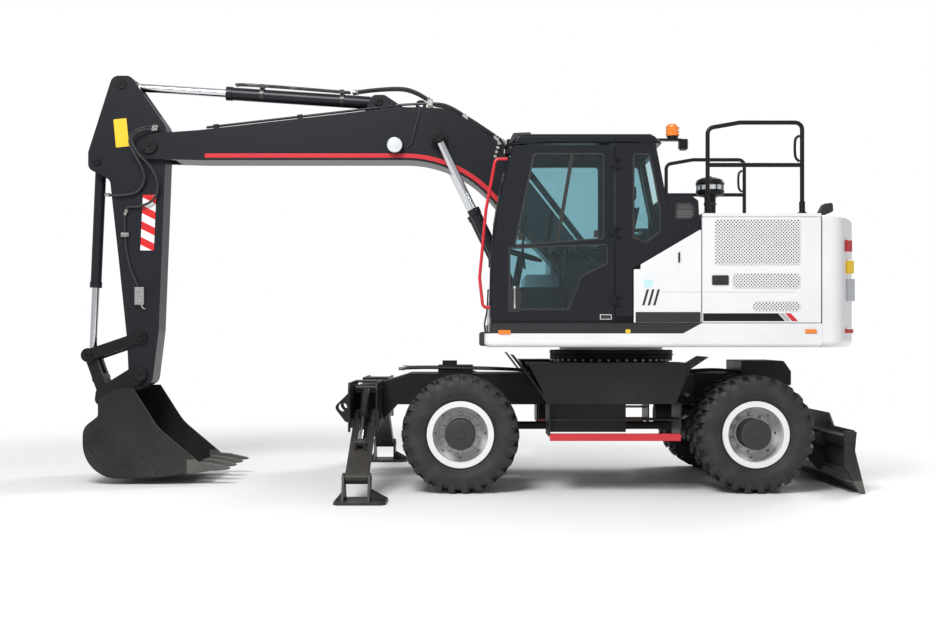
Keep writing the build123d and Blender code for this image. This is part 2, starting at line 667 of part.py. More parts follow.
def hood():
    """Fixed panels round the pump bay and engine bay: bulkheads, top frame and right side."""
    y0, y1 = -HALF_WIDTH, HALF_WIDTH
    x0, x1 = BAY_FRONT_X, TAIL_X - 5
    bottom = TRIM_TOP + FIT
    shape = block(DOOR_SEAM_X + 8, DOOR_SEAM_X + 38, y0 + 60, y1 - 60, bottom, HOOD_TOP - PANEL)
    shape += block(x1 - PANEL, x1, y0 + 60, y1 - 60, bottom, HOOD_TOP - PANEL)
    shape += block(DOOR_SEAM_X + 8, x1, y0 + 20, y1 - 20, HOOD_TOP - PANEL - 1, HOOD_TOP)
    shape -= block(940, 1640, LID_LEFT - 6, LID_RIGHT + 6, HOOD_TOP - 60, HOOD_TOP + 5)
    for name in ("left_engine_door", "right_engine_door"):
        x, y = door_axes()[name]
        shape += upright(x, y, DOOR_PIN, HOOD_TOP - PANEL - DOOR_PIN_LENGTH, HOOD_TOP - PANEL)
    shape += lid_hinges()[0]
    shape += block(x0, DOOR_SEAM_X + 9, -340, y1 - 40, 2380, 2410)
    shape -= block(x0 - 1, 290, -BOOM_HALF - 45, BOOM_HALF + 45, 2370, 2420)
    shape += block(x0, x0 + PANEL, -340, -320, bottom, 2390)
    return shape


def lid_hinges():
    """Hinge pins fixed to the hood, and the knuckles on the lid that turn on them."""
    x, z = LID_AXIS
    fixed, moving = None, None
    for y in LID_HINGES:
        pin = across(LID_AXIS, 7, y - 50, y + 50)
        for y0 in (y - 50, y + 38):
            pin += side([
                (x - 5, z + 6, 0), (x + 8, z + 10, 4), (x + 30, HOOD_TOP - 1, 0), (x + 4, HOOD_TOP - 1, 0),
                (x - 4, z - 7, 0)], y0, y0 + 12)
        knuckle_tube = across(LID_AXIS, 13, y - 36, y + 36)
        knuckle_tube += block(x - 70, x, y - 36, y + 36, z - 4, z + 6)
        knuckle_tube -= across(LID_AXIS, 7 + PIN_FIT, y - 40, y + 40)
        fixed = pin if fixed is None else fixed + pin
        moving = knuckle_tube if moving is None else moving + knuckle_tube
    return fixed, moving


def engine_hood():
    lid = block(946, 1634, LID_LEFT, LID_RIGHT, HOOD_TOP - 30, HOOD_TOP + 12)
    lid -= block(966, 1614, LID_LEFT + 20, LID_RIGHT - 20, HOOD_TOP - 31, HOOD_TOP - 8)
    return lid + lid_hinges()[1]


def pinned(door, name):
    """Door with the blind holes for its pivot pins."""
    x, y = door_axes()[name]
    door -= upright(x, y, DOOR_PIN + PIN_FIT, TRIM_TOP, TRIM_TOP + DOOR_PIN_LENGTH + 2)
    return door - upright(x, y, DOOR_PIN + PIN_FIT, HOOD_TOP - PANEL - DOOR_PIN_LENGTH - 2, HOOD_TOP)


# Perforated windows of an engine door: (x from, x to, z from, z to)
GRILLES = [(771, 1515, 2015, 2405), (928, 1515, 1809, 1932), (1104, 1515, 1611, 1686)]


def engine_door():
    """Sheet door with turned-in edges and perforated grilles, on the left side."""
    x0, x1 = DOOR_SEAM_X + 4, TAIL_X - DOOR_END
    z0, z1 = TRIM_TOP + 5, HOOD_TOP - PANEL - 6
    face = -HALF_WIDTH
    door = side([(x0, z0, 10), (x1, z0, 10), (x1, z1, 10), (x0, z1, 10)], face, face + PANEL)
    door -= block(
        x0 + DOOR_RIM, x1 - DOOR_RIM - PANEL, face + DOOR_SKIN, face + PANEL + 1, z0 + DOOR_RIM, z1 - DOOR_RIM)
    cells = []
    for xa, xb, za, zb in GRILLES:
        columns, rows = int((xb - xa) / GRILLE_PITCH), int((zb - za) / GRILLE_PITCH)
        centre = Pos((xa + xb) / 2, (za + zb) / 2)
        cells += [
            centre * spot * RegularPolygon(GRILLE_HOLE, 6)
            for spot in GridLocations(GRILLE_PITCH, GRILLE_PITCH, columns, rows)]
    holes = [extrude(Plane.XZ.offset(-face + 1) * cell, amount=-DOOR_SKIN - 2) for cell in cells]
    return door - holes


def left_engine_door():
    return pinned(engine_door(), "left_engine_door")


def right_engine_door():
    return pinned(mirrored(engine_door()), "right_engine_door")


def left_service_door():
    """Side cover behind the cab, with its top edge along the slanted seam."""
    x0, x1 = BAY_FRONT_X, DOOR_SEAM_X - 4
    rise = 60
    low = cover_top(x0) - 6
    door = side([
        (x0, TRIM_TOP + 5, 10), (x1, TRIM_TOP + 5, 10), (x1, cover_top(x1), 10),
        (x0 + rise, cover_top(x0 + rise), 0), (x0 + rise, low, 0), (x0, low, 10)],
        -HALF_WIDTH, -HALF_WIDTH + PANEL)
    door -= side([
        (x0 + PANEL + DOOR_RIM, TRIM_TOP + DOOR_RIM, 0), (x1 - DOOR_RIM, TRIM_TOP + DOOR_RIM, 0),
        (x1 - DOOR_RIM, cover_top(x1) - 60, 0), (x0 + PANEL + DOOR_RIM, cover_top(x0) - 40, 0)],
        -HALF_WIDTH + DOOR_SKIN, -HALF_WIDTH + PANEL + 1)
    return pinned(door, "left_service_door")


def engine_block():
    return block(960, 1560, -600, 700, TRIM_TOP + FIT, 2250)


def tanks():
    """Fuel tank, oil tank and the tool box with its steps, along the right side."""
    y0, y1 = 420, HALF_WIDTH
    z0 = TRIM_TOP + FIT
    shape = side([
        (-1190, z0, 0), (-1190, 1760, 40), (-820, 1760, 20), (-820, 2010, 30), (-560, 2010, 20),
        (-560, 2230, 40), (BAY_FRONT_X - 5, 2230, 0), (BAY_FRONT_X - 5, z0, 0)], y0, y1)
    shape -= side([
        (-1178, z0 + 12, 0), (-1178, 1748, 30), (-808, 1748, 20), (-808, 1998, 20), (-548, 1998, 20),
        (-548, 2218, 30), (BAY_FRONT_X - 17, 2218, 0), (BAY_FRONT_X - 17, z0 + 12, 0)], y0 + 12, y1 - 12)
    rear = block(BAY_FRONT_X - 4, DOOR_SEAM_X, y0, y1, z0, 2378)
    rear -= block(BAY_FRONT_X + 8, DOOR_SEAM_X - 12, y0 + 12, y1 - 12, z0 + 12, 2366)
    return [shape, rear]


# Cab

CAB_FRONT = [(-1200, 1500), (-1183, 2140), (-1121, 2580), (-1025, 3020), (-960, 3150)]


def front_x(z):
    """Place of the cab's front face at a height."""
    for (xa, za), (xb, zb) in zip(CAB_FRONT, CAB_FRONT[1:]):
        if z <= zb:
            return xa + (xb - xa) * (z - za) / (zb - za)
    return CAB_FRONT[-1][0]


def cover_top(x):
    """Height of the side cover's slanted top edge behind the cab."""
    return 1967 + (x - 39) * 0.587


# Windows of the cab's walls in side view, (x, z, corner radius)
WINDOW_TOP = 2980
RIGHT_WINDOW = [
    (-1120, 1850, 30), (-1090, 2300, 0), (-960, WINDOW_TOP, 30), (PILLAR_X - 60, WINDOW_TOP, 30),
    (PILLAR_X - 60, 1850, 30)]
RIGHT_REAR_WINDOW = [
    (PILLAR_X + 60, 2150, 30), (PILLAR_X + 60, WINDOW_TOP, 30), (CAB_REAR_X - 190, WINDOW_TOP, 30),
    (CAB_REAR_X - 90, 2500, 30), (CAB_REAR_X - 90, 2150, 30)]
QUARTER_WINDOW = [
    (56, 2250, 20), (56, WINDOW_TOP, 20), (196, WINDOW_TOP, 20), (240, 2780, 30), (290, 2500, 30),
    (290, 2300, 40), (165, 2205, 20)]


def cab_frame():
    left, right = CAB_LEFT, CAB_RIGHT
    wall = CAB_WALL
    gap = FIT
    floor_top = CAB_FLOOR + 60
    roof_low = CAB_TOP - 70
    rear = CAB_REAR_X
    door_side = left + wall + PANEL_GAP
    floor = block(front_x(CAB_FLOOR + 30) + 6, rear, door_side, right, CAB_FLOOR, floor_top)
    floor += block(front_x(CAB_FLOOR + 30) + 6, PILLAR_X, left + 2, door_side, CAB_FLOOR, CAB_FLOOR + 14)
    roof = side([
        (front_x(roof_low), roof_low, 0), (front_x(CAB_TOP), CAB_TOP, 40), (rear - 160, CAB_TOP, 40),
        (rear - 90, roof_low, 0)], left + 6, right)
    roof = fillet(roof.edges().filter_by(Axis.X), 20)
    face = [(front_x(z), z, 0) for z in (floor_top + gap, 2140, 2580, roof_low - gap)]
    back = [(x + wall, z, 0) for x, z, _ in reversed(face)]
    nose = side(face + back, door_side, right - wall - gap)
    nose -= block(-1400, -900, left + 70, right - wall - 60, floor_top + 90, roof_low - 60)
    rear_low = [(rear, floor_top + gap), (rear, 2330), (rear - 60, 2620), (rear - 150, roof_low - gap)]
    outer = [(x, z, 0) for x, z in rear_low]
    inner = [(x - wall, z, 0) for x, z in reversed(rear_low)]
    back_wall = side(outer + inner, left + wall + gap, right - wall - gap)
    shelf_top = 2620
    fairing = side([
        (rear + gap, cover_top(rear) + PANEL_GAP, 0), (rear + gap, 2330, 0), (rear - 58, shelf_top, 0),
        (rear + 160, shelf_top, 20), (rear + 225, shelf_top - 45, 30), (rear + 238, cover_top(rear + 238) + PANEL_GAP, 10)],
        left, right - 10)
    back_wall -= block(rear - 300, rear + 50, left + 140, right - 140, 2260, roof_low - 90)
    full = [(front_x(z), z, 0) for z in (floor_top + gap, 2140, 2580, roof_low - gap)]
    full += [(x, z, 0) for x, z in reversed(rear_low)]
    right_wall = side(full, right - wall, right)
    for window in (RIGHT_WINDOW, RIGHT_REAR_WINDOW):
        right_wall -= side(window, right - wall - 1, right + 1)
    side_rows = [(PILLAR_X + 2, floor_top + gap, 0), (PILLAR_X + 2, roof_low - gap, 0)]
    side_rows += [(x, z, 0) for x, z in reversed(rear_low[1:])]
    side_rows += [(rear, cover_top(rear) + PANEL_GAP, 0), (BAY_FRONT_X - DOOR_END, cover_top(BAY_FRONT_X) + PANEL_GAP, 0),
                  (BAY_FRONT_X - DOOR_END, floor_top + gap, 0)]
    left_wall = side(side_rows, left, left + wall)
    left_wall += cab_hinges()[0]
    left_wall += block(PILLAR_X + 40, rear - wall - gap, left + wall, left + wall + 14, floor_top + gap, 2190)
    left_wall -= side(QUARTER_WINDOW, left - 1, left + wall + 1)
    return [floor, roof, nose, back_wall, right_wall, left_wall, fairing]


def cab_hinges():
    """Lugs and pins on the pillar, and the knuckles on the cab door round them."""
    x, y = CAB_HINGE
    fixed, moving = None, None
    for z in CAB_HINGE_LEVELS:
        pin = upright(x, y, 6, z - 42, z + 42)
        for z0 in (z - 42, z + 32):
            pin += upright(x, y, 11, z0, z0 + 10)
            pin += block(x, x + 12, y - 11, y + 10, z0, z0 + 10)
            pin += block(x + 10, x + 50, y - 11, CAB_LEFT + 1, z0, z0 + 10)
        tube_part = upright(x, y, 11, z - 30, z + 30) + block(x - 42, x - 3, y + 2, CAB_LEFT + 1, z - 30, z + 30)
        tube_part += block(x - 12, x, y - 5, y + 10, z - 30, z + 30)
        tube_part -= upright(x, y, 6 + PIN_FIT, z - 50, z + 50)
        fixed = pin if fixed is None else fixed + pin
        moving = tube_part if moving is None else moving + tube_part
    return fixed, moving


DOOR_OUTLINE = [
    (front_x(1540) + 12, 1520, 20), (front_x(2140) + 12, 2140, 0), (front_x(2580) + 12, 2580, 0),
    (front_x(3060) + 12, 3060, 30), (PILLAR_X - 4, 3060, 10), (PILLAR_X - 4, 1520, 20)]
DOOR_UPPER = [(-985, 2180, 20), (-815, 2985, 30), (-205, 2985, 30), (-205, 2240, 20)]
DOOR_LOWER = [(-1030, 1620, 20), (-1030, 2160, 20), (-175, 2190, 20), (-175, 2020, 30), (-400, 1910, 60),
              (-510, 1620, 20)]


def cab_door():
    y0, y1 = CAB_LEFT, CAB_LEFT + CAB_WALL
    door = side(DOOR_OUTLINE, y0, y1)
    door -= side(DOOR_UPPER, y0 - 1, y1 + 1)
    door -= side(DOOR_LOWER, y0 - 1, y1 + 1)
    return door + cab_hinges()[1]


def inset(rows, amount):
    return offset(drawn(rows), amount=-amount, kind=Kind.INTERSECTION)


def pane(rows, y):
    """Flat glass inside a window's outline."""
    return extrude(Plane.XZ.offset(-y) * inset(rows, FIT), amount=-6)


def door_glass():
    return [pane(DOOR_UPPER, CAB_LEFT + 12), pane(DOOR_LOWER, CAB_LEFT + 12)]


def cab_glass():
    left, right = CAB_LEFT, CAB_RIGHT
    wall = CAB_WALL
    shapes = [pane(RIGHT_WINDOW, right - 20), pane(RIGHT_REAR_WINDOW, right - 20), pane(QUARTER_WINDOW, left + 12)]
    low, high = CAB_FLOOR + 150 + FIT, CAB_TOP - 130 - FIT
    levels = (low, 2140, 2580, high)
    face = [(front_x(z) + 15, z, 0) for z in levels]
    back = [(x + 6, z, 0) for x, z, _ in reversed(face)]
    shapes.append(side(face + back, left + 70 + FIT, right - wall - 60 - FIT))
    return shapes


def seat():
    base = block(-480, -20, SEAT_Y - 225, SEAT_Y + 225, CAB_FLOOR + 60 + FIT, 1900)
    cushion = side([
        (-560, 1900, 0), (-580, 2000, 40), (-60, 1990, 40), (-60, 1900, 0)], SEAT_Y - 245, SEAT_Y + 245)
    back = side([
        (-100, 1940, 20), (20, 1940, 20), (150, 2560, 50), (50, 2600, 50)], SEAT_Y - 225, SEAT_Y + 225)
    head = block(70, 140, SEAT_Y - 95, SEAT_Y + 95, 2606 + FIT, 2760)
    arm_sides = (SEAT_Y - 305, SEAT_Y + 245)
    arms = [block(-420, 0, y, y + 60, 2140, 2190) for y in arm_sides]
    for y in arm_sides:
        arms.append(block(-60, -10, y, y + 60, 1900, 2140 - FIT))
    for y in (SEAT_Y - 45, SEAT_Y + 45):
        head += upright(100, y, 8, 2540, 2620)
    return [base + cushion + back + head, *arms]


def controls():
    """Consoles with their levers, the steering column and its wheel."""
    floor = CAB_FLOOR + 60 + FIT
    gear = []
    for y in (SEAT_Y - 385, SEAT_Y + 285):
        console = side([
            (-470, floor, 0), (-560, 1980, 30), (-480, 2080, 40), (-110, 2020, 30), (-110, floor, 0)], y, y + 60)
        console += strut((-500, y + 30, 2040), (-520, y + 30, 2190), 13)
        console += Pos(-523, y + 30, 2210) * Sphere(30)
        gear.append(console)
    column = strut((-1010, SEAT_Y, floor + 12), (-905, SEAT_Y, 2130), 34)
    column += block(-1060, -960, SEAT_Y - 65, SEAT_Y + 65, floor, floor + 90)
    hub = Plane((-905, SEAT_Y, 2130), z_dir=(0.3, 0, 1))
    column += hub * Torus(185, 13)
    for turn in (90, 210, 330):
        column += hub * Rot(0, 0, turn) * Pos(92, 0, 0) * Box(184, 26, 12)
    return [*gear, column]


# Rails, lamps and small gear on the upper structure

def handrails():
    """Rails along both edges of the hood, each with a mid bar and a rear hand loop."""
    y, foot = -RAIL_Y, HOOD_TOP + FIT
    rail = pipe([
        (RAIL_FRONT_X, y, foot), (RAIL_FRONT_X, y, RAIL_TOP - 50), (RAIL_FRONT_X + 285, y, RAIL_TOP),
        (RAIL_REAR_X, y, RAIL_TOP), (RAIL_REAR_X, y, foot)], 60, RAIL_RADIUS)
    rail += strut((RAIL_FRONT_X, y, RAIL_MIDDLE), (RAIL_REAR_X, y, RAIL_MIDDLE), RAIL_RADIUS)
    for x in (RAIL_FRONT_X, RAIL_REAR_X):
        rail += upright(x, y, RAIL_RADIUS + 7, foot, foot + 110)
        rail += upright(x, y, RAIL_RADIUS + 22, foot, foot + 12)
    return both(rail)


def grab_rail():
    y = CAB_LEFT + CAB_WALL + 30
    points = [(front_x(2950) - 3.2, 2950), (-1150, 2950), (-1235, 2500), (-1291, 1900), (-1262, 1640),
              (front_x(1640) - 0.7, 1640)]
    return pipe([(x, y, z) for x, z in points], 40, 14)


# Air pre-cleaner on its stem: (radius, height above the hood)
CLEANER = [
    (0, FIT), (52, FIT), (52, 200), (60, 212), (118, 224), (130, 250), (130, 272), (120, 276), (120, 318),
    (130, 322), (134, 336), (120, 368), (78, 388), (0, 394)]


def air_stack():
    x, y = STACK_PLACE
    outline = make_face(Polyline([(radius, height) for radius, height in CLEANER], close=True))
    return Pos(x, y, HOOD_TOP) * revolve(Plane.XZ * outline, Axis.Z)


def lamps():
    """Beacon and rear lamp on a bracket behind the roof, and two front roof lamps."""
    roof_rear = CAB_REAR_X - 90
    roof_low = CAB_TOP - 70
    y = CAB_LEFT + 130
    bracket = side([
        (roof_rear + 1 - 38, roof_low + 38, 0), (roof_rear + 1 - 54, roof_low + 54, 0), (490, roof_low + 54, 0),
        (490, roof_low + 38, 0)], y - 40, y + 40)
    bracket += block(476, 490, y - 40, y + 40, roof_low - 30, roof_low + 40)
    beacon = upright(420, y, 48, roof_low + 54, roof_low + 80) + upright(420, y, 58, roof_low + 79, roof_low + 185)
    beacon = fillet(beacon.edges().group_by(Axis.Z)[-1], 30)
    shapes = [bracket + beacon + block(489, 545, y - 50, y + 50, roof_low - 42, roof_low + 48)]
    for y0 in (CAB_LEFT + 100, CAB_RIGHT - 220):
        shapes.append(side([
            (front_x(roof_low + 6) - 0.5, roof_low + 6, 0), (front_x(roof_low + 46) - 0.5, roof_low + 46, 0),
            (-1052, roof_low + 50, 12), (-1052, roof_low + 2, 12)], y0, y0 + 120))
    return shapes


# Working equipment

def boom():
    fx, fz = BOOM_FOOT
    tx, tz = ARM_PIVOT
    rx, rz = BOOM_RAM_EYE
    rows = [
        (tx - 130, tz - 120, 110), (tx - 130, tz + 110, 110), (*BOOM_TOP_FRONT, 300), (*BOOM_TOP_REAR, 600),
        (-1560, 3580, 600), (-1116, 3270, 300), (fx + 170, fz + 40, 120), (fx - 20, fz - 170, 130),
        (fx - 175, fz + 30, 120), (-1117, 2640, 400), (-1500, 3079, 1100), (-3967, 3079, 200)]
    shape = hollow(rows, BOOM_HALF, PLATE)
    shape -= side([
        (tx - 200, tz - 300, 0), (tx + 243, tz - 300, 0), (tx + 243, tz - 129, 0), (tx + 693, tz + 183, 0),
        (tx + 750, tz + 300, 0), (tx - 200, tz + 300, 0)], -ARM_HALF - 6, ARM_HALF + 6)
    shape += side([
        (tx + 244, tz - 128, 0), (tx + 692, tz + 181, 0), (tx + 714, tz + 181, 0), (tx + 266, tz - 128, 0)],
        2 - BOOM_HALF, BOOM_HALF - 2)
    shape += across(ARM_PIVOT, 50, -BOOM_HALF - 14, BOOM_HALF + 14)
    shape += across(BOOM_RAM_EYE, 85, -BOOM_RAM_Y + 43, BOOM_RAM_Y - 43)
    shape += across(BOOM_FOOT, 120, -BOOM_HALF, BOOM_HALF)
    shape -= across(BOOM_FOOT, 55 + PIN_FIT, -BOOM_HALF - 5, BOOM_HALF + 5)
    ax, az = ARM_RAM_BASE
    for y0 in (66, -86):
        shape += side([
            (ax - 160, az - 150, 0), (ax - 60, az + 70, 60), (ax + 60, az + 70, 60), (ax + 330, az - 110, 0)],
            y0, y0 + 20)
    shape += across(ARM_RAM_BASE, 32, -94, 94)
    lx, lz = LIFT_EYE
    shape += side([
        (lx - 58, lz - 66, 0), (lx - 44, lz + 44, 42), (lx + 44, lz + 44, 42), (lx + 58, lz - 66, 0)], -15, 15)
    shape -= across(LIFT_EYE, 22, -20, 20)
    lamp = across(BOOM_LAMP, 75, -BOOM_HALF - FIT - 62, -BOOM_HALF - FIT)
    return [shape, lamp, *both(boom_pipe())]


def boom_pipe():
    """Steel pipe in three clamp blocks along the boom's straight top, toward +Y."""
    run = math.dist(BOOM_TOP_FRONT, BOOM_TOP_REAR)
    x, z = BOOM_TOP_FRONT
    slope = Vector(BOOM_TOP_REAR[0] - x, 0, BOOM_TOP_REAR[1] - z)
    top = Plane((x, PIPE_Y, z), x_dir=slope, z_dir=(0, -1, 0))
    seat = FIT
    pipe_line = top * Pos(60, seat + 22, 0) * Rot(0, 90, 0) * Cylinder(
        PIPE_RADIUS, run - 130, align=(Align.CENTER, Align.CENTER, Align.MIN))
    for share in (0.08, 0.5, 0.92):
        pipe_line += top * Pos(share * run, seat, 0) * Box(
            50, 40, 44, align=(Align.CENTER, Align.MIN, Align.CENTER))
    return pipe_line


def boom_rams():
    barrels, rods = [], []
    for y in (-BOOM_RAM_Y, BOOM_RAM_Y):
        barrel, rod = ram(BOOM_RAM_BASE, BOOM_RAM_EYE, 55, 36, 0.62, 655, y, 40, 62)
        barrels.append(barrel - across(BOOM_RAM_BASE, 40 + PIN_FIT, y - 60, y + 60))
        rods.append(rod)
    return barrels, rods


def arm():
    px, pz = ARM_PIVOT
    ex, ez = ARM_RAM_EYE
    cx, cz = BUCKET_RAM_BASE
    rx, rz = ROCKER_PIVOT
    bx, bz = BUCKET_PIVOT
    rows = [
        (ex - 85, ez + 80, 80), (ex + 90, ez + 80, 80), (px + 150, pz + 190, 150), (px + 125, pz - 500, 200),
        (rx + 175, rz + 60, 300), (bx + 110, bz - 110, 100), (bx - 110, bz - 110, 100), (rx - 130, rz - 20, 100),
        (rx - 210, 2124, 400), (px - 395, 2896, 60), (cx - 85, cz - 70, 70), (cx - 85, cz + 90, 70)]
    shape = hollow(rows, ARM_HALF, PLATE)
    shape += across(ARM_PIVOT, 125, -ARM_HALF, ARM_HALF)
    shape += across(BUCKET_PIVOT, 85, -ARM_HALF, ARM_HALF)
    shape += across(ROCKER_PIVOT, 60, -ARM_HALF - 4, ARM_HALF + 4)
    shape += across(ROCKER_PIVOT, 32, -ARM_HALF - 36, ARM_HALF + 36)
    shape -= across(ARM_PIVOT, 50 + PIN_FIT, -ARM_HALF - 5, ARM_HALF + 5)
    shape -= across(BUCKET_PIVOT, 55 + PIN_FIT, -ARM_HALF - 5, ARM_HALF + 5)
    shape -= block(cx - 150, cx + 72, -62, 62, cz - 250, cz + 110)
    shape += block(cx + 72, cx + 86, -62, 62, cz - 150, cz + 200)
    shape += across(BUCKET_RAM_BASE, 28, -ARM_HALF - 6, ARM_HALF + 6)
    slot_depth = 300
    shape -= block(ex - 240, ex + 400, -50, 50, ez - slot_depth, ez + 120)
    shape += block(ex - 190, ex + 335, -52, 52, ez - slot_depth - PLATE, ez - slot_depth)
    return shape


def arm_ram():
    barrel, rod = ram(ARM_RAM_BASE, ARM_RAM_EYE, 62, 40, 0.6, 250, 0, 42, 62)
    return barrel - across(ARM_RAM_BASE, 32 + PIN_FIT, -60, 60), rod


def bucket_ram():
    barrel, rod = ram(BUCKET_RAM_BASE, LINK_TOP, 52, 35, 0.65, 400, 0, 42, 58)
    return barrel - across(BUCKET_RAM_BASE, 28 + PIN_FIT, -60, 60), rod


def linked(start, end, radius, y0, y1):
    """Flat bar with round ends between two side-view pins."""
    shape = across(start, radius, y0, y1) + across(end, radius, y0, y1)
    line = Vector(end[0] - start[0], end[1] - start[1])
    turn = Vector(-line.Y, line.X).normalized() * radius * 0.8
    a, b = Vector(*start), Vector(*end)
    rows = [(a + turn), (b + turn), (b - turn), (a - turn)]
    return shape + side([(p.X, p.Y, 0) for p in rows], y0, y1)


def rockers():
    y0, y1 = ARM_HALF + 5, ARM_HALF + 30
    plates = linked(ROCKER_PIVOT, LINK_TOP, 68, y0, y1) - across(ROCKER_PIVOT, 32 + PIN_FIT, y0 - 1, y1 + 1)
    plates = plates + mirrored(plates)
    plates += across(LINK_TOP, 34, y0 - 18, y1)
    plates += across(LINK_TOP, 34, -y1, 18 - y0)
    return plates


def link():
    cheek = linked(LINK_TOP, LINK_FOOT, 62, 55, 122)
    shape = cheek + mirrored(cheek)
    low = mid(LINK_TOP, LINK_FOOT, 0.55)
    shape += linked(low, LINK_FOOT, 55, -125, 125)
    return shape - across(LINK_FOOT, 40 + PIN_FIT, -130, 130)


# Bucket seen from the side: (x, z, corner radius)
BUCKET_SIDE = [
    (-4523, 897, 0), (-4690, 897, 60), (-4850, 800, 60), (-4850, 640, 40), (-4992, 530, 140),
    (-4992, 46, 330), (-4300, 66, 300), (-3864, 128, 0), (-3864, 170, 0), (-4290, 530, 500)]
BUCKET_BACK = [
    (-4600, 897, 0), (-4690, 880, 60), (-4790, 790, 60), (-4800, 680, 60), (-4992, 530, 140),
    (-4992, 46, 330), (-4300, 66, 300), (-3840, 128, 0), (-3840, 168, 0), (-4300, 92, 280),
    (-4966, 72, 304), (-4966, 518, 118), (-4774, 668, 60), (-4764, 782, 40), (-4680, 852, 40), (-4616, 868, 0)]
HEEL_STRIP = [
    (-4986, 405, 0), (-4810, 190, 200), (-4560, 165, 150), (-4428, 250, 0), (-4300, 150, 0),
    (-4300, 72, 0), (-4986, 54, 320)]
ADAPTER = [
    (-4000, 150, 0), (-3930, 208, 20), (-3800, 198, 10), (-3760, 182, 0), (-3760, 134, 0), (-3864, 118, 0),
    (-3960, 104, 0)]
TOOTH = [(-3775, 190, 0), (-3775, 126, 0), (-3640, 140, 0), (-3615, 150, 0), (-3640, 162, 0)]


def tooth(y):
    """Cast adapter on the lip with a tooth that narrows to its tip."""
    adapter = side(ADAPTER, y - 36, y + 36)
    point = side(TOOTH, y - 50, y + 50)
    taper = plan([(-3780, y - 44, 0), (-3780, y + 44, 0), (-3600, y + 20, 0), (-3600, y - 20, 0)], 100, 220)
    return adapter + (point & taper)


def bucket():
    bx, bz = BUCKET_PIVOT
    kx, kz = LINK_FOOT
    half, wall = BUCKET_HALF, BUCKET_WALL
    shape = side(BUCKET_BACK, 1 - half, half - 1)
    for shell in both(side(BUCKET_SIDE, half - wall, half)):
        shape += shell
    for strip in both(side(HEEL_STRIP, half - 1, half + 8)):
        shape += strip
    ear = side([
        (bx + 72, bz - 30, 60), (bx + 60, bz + 75, 60), (bx - 70, bz + 75, 60), (kx - 70, kz + 80, 70),
        (kx - 85, kz - 60, 60), (-4790, 690, 0), (-4780, 784, 0), (-4685, 866, 0), (-4610, 875, 0)],
        ARM_HALF + 2, ARM_HALF + 32)
    for plate in both(ear):
        shape += plate
    shape += across(BUCKET_PIVOT, 55, -ARM_HALF - 32, ARM_HALF + 32)
    shape += across(LINK_FOOT, 40, -ARM_HALF - 32, ARM_HALF + 32)
    for index in range(TOOTH_COUNT):
        shape += tooth(TOOTH_REACH * (2 * index / (TOOTH_COUNT - 1) - 1))
    return shape


# All nodes

def machine():
    nodes = {}
    nodes["chassis_frame"] = chassis_frame()
    nodes["slew_ring"] = upright(0, 0, RING_RADIUS, RING_BOTTOM + FIT, RING_TOP)
    nodes["front_axle"] = front_axle()
    nodes["rear_axle"] = rear_axle()
    nodes["driveline"] = driveline()
    nodes["side_steps"] = both(side_step())
    nodes["steering_rod"] = steering_rod()
    for name, x in (("front", FRONT_AXLE_X), ("rear", REAR_AXLE_X)):
        tyres, rim = wheel_pair(x, TYRE_RADIUS)
        nodes[f"tyres_{name}_right"] = tyres
        nodes[f"rim_{name}_right"] = rim
        nodes[f"tyres_{name}_left"] = [mirrored(tyre) for tyre in tyres]
        nodes[f"rim_{name}_left"] = mirrored(rim)
    nodes["knuckle_right"] = knuckle()
    nodes["knuckle_left"] = mirrored(knuckle())
    barrel, rod = stabiliser_ram()
    stand = {
        "stabiliser_leg": stabiliser_leg(), "stabiliser_pad": stabiliser_pad(),
        "stabiliser_barrel": barrel, "stabiliser_rod": rod}
    for name, shape in stand.items():
        nodes[f"{name}_right"] = shape
        nodes[f"{name}_left"] = mirrored(shape)
    nodes["blade"] = blade()
    nodes["blade_barrels"], nodes["blade_rods"] = blade_rams()
    nodes["deck"] = deck()
    nodes["counterweight"] = counterweight()
    nodes["hood"] = hood()
    nodes["engine_hood"] = engine_hood()
    nodes["left_engine_door"] = left_engine_door()
    nodes["left_service_door"] = left_service_door()
    nodes["right_engine_door"] = right_engine_door()
    nodes["engine_block"] = engine_block()
    nodes["tanks"] = tanks()
    nodes["cab_frame"] = cab_frame()
    nodes["cab_glass"] = cab_glass()
    nodes["cab_door"] = cab_door()
    nodes["door_glass"] = door_glass()
    nodes["seat"] = seat()
    nodes["controls"] = controls()
    nodes["lamps"] = lamps()
    nodes["handrails"] = handrails()
    nodes["grab_rail"] = grab_rail()
    nodes["air_stack"] = air_stack()
    nodes["boom"] = boom()
    nodes["boom_barrels"], nodes["boom_rods"] = boom_rams()
    nodes["arm"] = arm()
    nodes["arm_barrel"], nodes["arm_rod"] = arm_ram()
    nodes["bucket_barrel"], nodes["bucket_rod"] = bucket_ram()
    nodes["rockers"] = rockers()
    nodes["link"] = link()
    nodes["bucket"] = bucket()
    return nodes


def solids_of(shape):
    pieces = shape if isinstance(shape, list) else [shape]
    return [solid for piece in pieces for solid in piece.solids()]


NODES = {name: solids_of(shape) for name, shape in machine().items()}
BOX = Compound([solid for group in NODES.values() for solid in group]).bounding_box()
SHIFT = Vector(-(BOX.min.X + BOX.max.X) / 2, -(BOX.min.Y + BOX.max.Y) / 2, -BOX.min.Z)
os.makedirs("parts", exist_ok=True)
for name, group in NODES.items():
    moved = [solid.moved(Location(SHIFT)) for solid in group]
    export_step(Compound(moved), f"parts/{name}.step")
print("nodes", len(NODES), "shift", tuple(SHIFT), "size", tuple(BOX.size))
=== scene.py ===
import math

